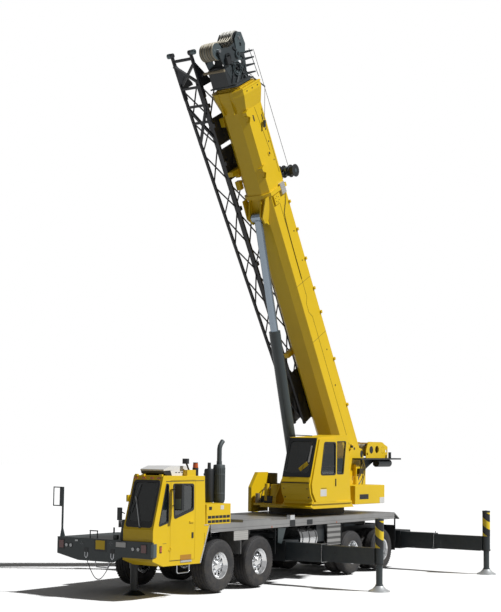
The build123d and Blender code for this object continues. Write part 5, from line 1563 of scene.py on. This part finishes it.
def addJackSleeve(node, name, foot, way):
    # striped sleeve at the inner beam's end, with the cylinder's cap above it
    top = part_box(node)[1].z
    r, tube = gearLook["sleeve"], gearLook["tube"]
    shape = shortened(node, foot.y - way * 0.145, way)
    near, far = sorted((foot.y - way * 0.146, foot.y - way * 0.070))
    addBlock(shape, (foot.x - 0.095, near, 0.600), (foot.x + 0.095, far, 0.945), beamPaint)
    rings = [(0.600, 0.960, r, beamPaint), (0.955, 1.560, r + 0.003, hazard),
             (0.585, 0.625, r + 0.010, plastic), (1.555, 1.600, r + 0.006, headGrey)]
    for a, b, wide, look in rings:
        section = [(a, tube + 0.004), (a, wide), (b, wide), (b, tube + 0.004)]
        addTurned(shape, section, (foot.x, foot.y, 0), alongZ, 48, True, look)
    addRod(shape, (foot.x, foot.y, 1.560), (foot.x, foot.y, 1.600), tube + 0.010, sides=32, look=headGrey)
    addRod(shape, (foot.x, foot.y, 1.600), (foot.x, foot.y, top), 0.03, sides=12, look=headGrey)
    padY = foot.y - way * 1.10
    for a in (-1, 1):
        start, end = foot.x + a * 0.09, foot.x + a * 0.0965
        addRod(shape, (start, padY, 0.80), (end, padY, 0.80), 0.03, sides=20, look=plastic)
    piece(name, shape, hazard, bodyOf(node), bevel=0.003, stands=[node])


def addJackTube(node, name, foot):
    # round float and the smooth tube that slides in the sleeve
    wide, tube = gearLook["float"], gearLook["tube"]
    shape = bmesh.new()
    cone = [(0.0, 0.0), (0.0, wide), (0.012, wide), (0.018, wide - 0.01), (0.060, 0.150), (0.125, 0.092),
            (0.130, 0.0)]
    rod = [(0.07, 0.0), (0.07, tube + 0.018), (0.15, tube + 0.014), (0.155, tube), (1.04, tube), (1.04, 0.0)]
    addTurned(shape, cone, (foot.x, foot.y, 0), alongZ, 48)
    addTurned(shape, rod, (foot.x, foot.y, 0), alongZ, 40, look=cylinderGrey)
    piece(name, shape, floatMetal, bodyOf(node), bevel=0.002, stands=[node])


for end in ("front", "rear"):
    for mark, way in (("left", 1), ("right", -1)):
        foot = middle(f"jack_foot_{end}_{mark}")               # the float stands square under the sleeve
        addBeamEnd(f"outrigger_outer_{end}_{mark}", f"beamEnd_{end}_{mark}", way)
        addJackSleeve(f"outrigger_inner_{end}_{mark}", f"jackSleeve_{end}_{mark}", foot, way)
        addJackTube(f"jack_foot_{end}_{mark}", f"jackTube_{end}_{mark}", foot)


def addSideBoxes(shape, x, y):
    # step tray, tapered guard, plates, lamps and panels on the near side
    addBlock(shape, (x - 1.03, y - 0.03, 1.105), (x - 0.48, y - 0.015, 1.325))
    guard = [(x - 2.24, 1.30), (x - 2.24, 0.97), (x - 2.40, 0.94), (x - 2.57, 1.30)]
    addPrism(shape, guard, "y", y - 0.05, y - 0.02, cylinderGrey)
    addBlocks(shape, (x, y, 0), [
        ((-2.90, -0.10, 1.475), (-2.72, 0.004, 1.585), alloy),
        ((-2.93, -0.02, 1.325), (-2.70, 0.005, 1.470), plastic),
        ((-3.69, -0.01, 1.335), (-3.44, 0.004, 1.455), plastic),
        ((-5.04, -0.05, 0.800), (-4.42, -0.028, 1.310), stepPanel),
        ((-1.97, -0.004, 1.33), (-1.93, 0.006, 1.36), amberLamp),
        ((-4.82, -0.004, 1.33), (-4.78, 0.006, 1.36), amberLamp)])


def addTankGear(shape, x):
    # straps and cap of the round tank, and the air bottles
    strap = [(-0.018, 0.268), (-0.018, 0.275), (0.018, 0.275), (0.018, 0.268)]
    for a in gearLook["straps"]:
        addTurned(shape, strap, (x - a, 0.98, 1.010), alongX, 56, True, plastic)
    addRod(shape, (x - 3.80, 1.08, 1.25), (x - 3.80, 1.12, 1.31), 0.045, sides=20, look=plastic)
    for a, b in gearLook["bottles"]:
        addRod(shape, (x + a, 0.60, b), (x + a, 1.05, b), 0.07, sides=16, look=plastic)


def addWheelGuards(shape):
    # upright strips before and behind the wheel pairs
    for y in (1.25, -1.25):
        for a in (axleX[0] + 0.60, axleX[1] - 0.62, axleX[2] + 0.62, axleX[3] - 0.62):
            addBlock(shape, (a - 0.012, y - 0.02, 0.72), (a + 0.004, y + 0.02, 1.33), plastic)
    for near, far in ((-1.24, -0.68), (0.68, 1.24)):            # rear mud flaps
        addBlock(shape, (axleX[3] - 0.66, near, 0.50), (axleX[3] - 0.65, far, 1.15), rubber)


def addSideGear():
    shape = bmesh.new()
    x = axleOne
    addSideBoxes(shape, x, gearLook["side"])
    addTankGear(shape, x)
    addWheelGuards(shape)
    for n in range(3):                                        # lines along the frame
        line = [(x - 0.2 - n * 0.4, 0.30 - n * 0.05, 1.16), (x - 2.0, 0.33, 1.15),
                (x - 5.5, 0.30 + n * 0.02, 1.15)]
        addPipe(shape, line, 0.016, 6, look=plastic)
    piece("sideGear", shape, stepMetal, "chassis", bevel=0.003)


def addJibTrim():
    shape = bmesh.new()
    roller = [(-0.049, 0.02), (-0.049, 0.061), (-0.02, 0.064), (0.02, 0.064), (0.049, 0.061), (0.049, 0.02)]
    for y in jibLook["rollers"]:
        addTurned(shape, roller, (11.43, y, -0.65), alongY, 28)
    for a, b in jibLook["hangers"]:
        addBlock(shape, (a - 0.05, -0.52, b - 0.045), (a + 0.05, -0.43, b + 0.045), jibBlack)
    addPrism(shape, circle(0.07, 24, (2.05, -0.42), 1.8), "y", -0.462, -0.458, seamDarkAndPaintedShade)
    # webs and braces that tie the two forks at the wide end
    for a in jibLook["webs"]:
        addBlock(shape, (a - 0.03, -1.08, -0.665), (a + 0.03, -0.48, -0.625), jibBlack)
    for a, near, far, reach in jibLook["braces"]:
        addBar(shape, (a, near, -0.60), (a + reach, far, -0.65), 0.05, 0.075, jibBlack)
    addBar(shape, (9.70, -0.50, -0.62), (9.70, -1.06, -0.62), 0.05, 0.09, jibBlack)
    piece("jibTrim", shape, steelGrey, bodyOf("jib"), place=boomPlace)


addSideGear()
addJibTrim()
print("gear made")

# floor, light and camera
stageLook = {"reach": 120.0, "below": 0.002, "floorUnseen": 0.30, "floorSeen": 0.95, "floorMirrored": 0.7,
             "skyUnseen": 0.075, "skySeen": 1.0, "skyMirrored": 0.22}
lampLook = {"keyLight": {"towards": (0.24, -0.74, -0.85), "strength": 4.5, "size": 2},
            "fillLight": {"towards": (-0.8, -0.35, -0.45), "strength": 0.13, "size": 60}}
view = {"place": (27.836, 18.979, 3.197), "heading": -2.5334, "tilt": 0.101, "roll": 0.012, "lens": 80.78}


def seenDirectly(tree):
    # one for what the camera sees, straight or through a pane, with the path node for the rest
    path = tree.nodes.new("ShaderNodeLightPath")
    straight, through = path.outputs["Is Camera Ray"], path.outputs["Is Transmission Ray"]
    return path, mathNode(tree, "ADD", straight, through, True)


def makeFloorMaterial():
    # bright to the eye, dull to the paint above it
    material = bpy.data.materials.new("paleFloor")
    material.use_nodes = True
    tree = material.node_tree
    shader = tree.nodes["Principled BSDF"]
    shader.inputs["Roughness"].default_value = 0.9
    shader.inputs["Specular IOR Level"].default_value = 0.1
    path, shown = seenDirectly(tree)
    mirrored = mathNode(tree, "MULTIPLY", path.outputs["Is Glossy Ray"], stageLook["floorMirrored"])
    shown = mathNode(tree, "ADD", shown, mirrored, True)
    seen = rangeOf(tree, shown, 0.0, 1.0, stageLook["floorUnseen"], stageLook["floorSeen"])
    tree.links.new(seen, shader.inputs["Base Color"])
    return material


def addFloor():
    reach, z = stageLook["reach"], -stageLook["below"]
    mesh = bpy.data.meshes.new("studioFloor")
    corners = [(-reach, -reach, z), (reach, -reach, z), (reach, reach, z), (-reach, reach, z)]
    mesh.from_pydata(corners, [], [(0, 1, 2, 3)])
    mesh.materials.append(makeFloorMaterial())
    ground = bpy.data.objects.new("studioFloor", mesh)
    bpy.context.scene.collection.objects.link(ground)


def addSky():
    world = bpy.data.worlds.new("studio")
    bpy.context.scene.world = world
    world.use_nodes = True
    tree = world.node_tree
    back = tree.nodes["Background"]
    path, shown = seenDirectly(tree)
    mirrored = mathNode(tree, "MULTIPLY", path.outputs["Is Glossy Ray"], stageLook["skyMirrored"])
    back.inputs["Color"].default_value = (1, 1, 1, 1)
    around = rangeOf(tree, shown, 0.0, 1.0, stageLook["skyUnseen"], stageLook["skySeen"])
    tree.links.new(mathNode(tree, "ADD", around, mirrored), back.inputs["Strength"])


def addLamp(name, towards, strength, size):
    lamp = bpy.data.lights.new(name, "SUN")
    lamp.energy, lamp.angle = strength, radians(size)
    holder = bpy.data.objects.new(name, lamp)
    holder.rotation_mode = "QUATERNION"
    holder.rotation_quaternion = Vector(towards).to_track_quat("-Z", "Y")
    bpy.context.scene.collection.objects.link(holder)


def addCamera():
    # looks slightly up along its heading, turned a little about its own axis
    camera = bpy.data.cameras.new("mainView")
    camera.lens, camera.sensor_width, camera.clip_end = view["lens"], 36.0, 500.0
    holder = bpy.data.objects.new("mainView", camera)
    heading, tilt = view["heading"], view["tilt"]
    ahead = Vector((cos(heading) * cos(tilt), sin(heading) * cos(tilt), sin(tilt)))
    right = Vector((sin(heading), -cos(heading), 0))
    above = right.cross(ahead)
    c, s = cos(view["roll"]), sin(view["roll"])
    across, upwards = c * right + s * above, c * above - s * right
    turn = Matrix((across, upwards, -ahead)).transposed().to_4x4()
    holder.matrix_world = Matrix.Translation(view["place"]) @ turn
    bpy.context.scene.collection.objects.link(holder)
    bpy.context.scene.camera = holder


addFloor()
addSky()
for name, look in lampLook.items():
    addLamp(name, **look)
addCamera()
bpy.context.scene.view_settings.view_transform = "Standard"
print("stage, light and camera set")
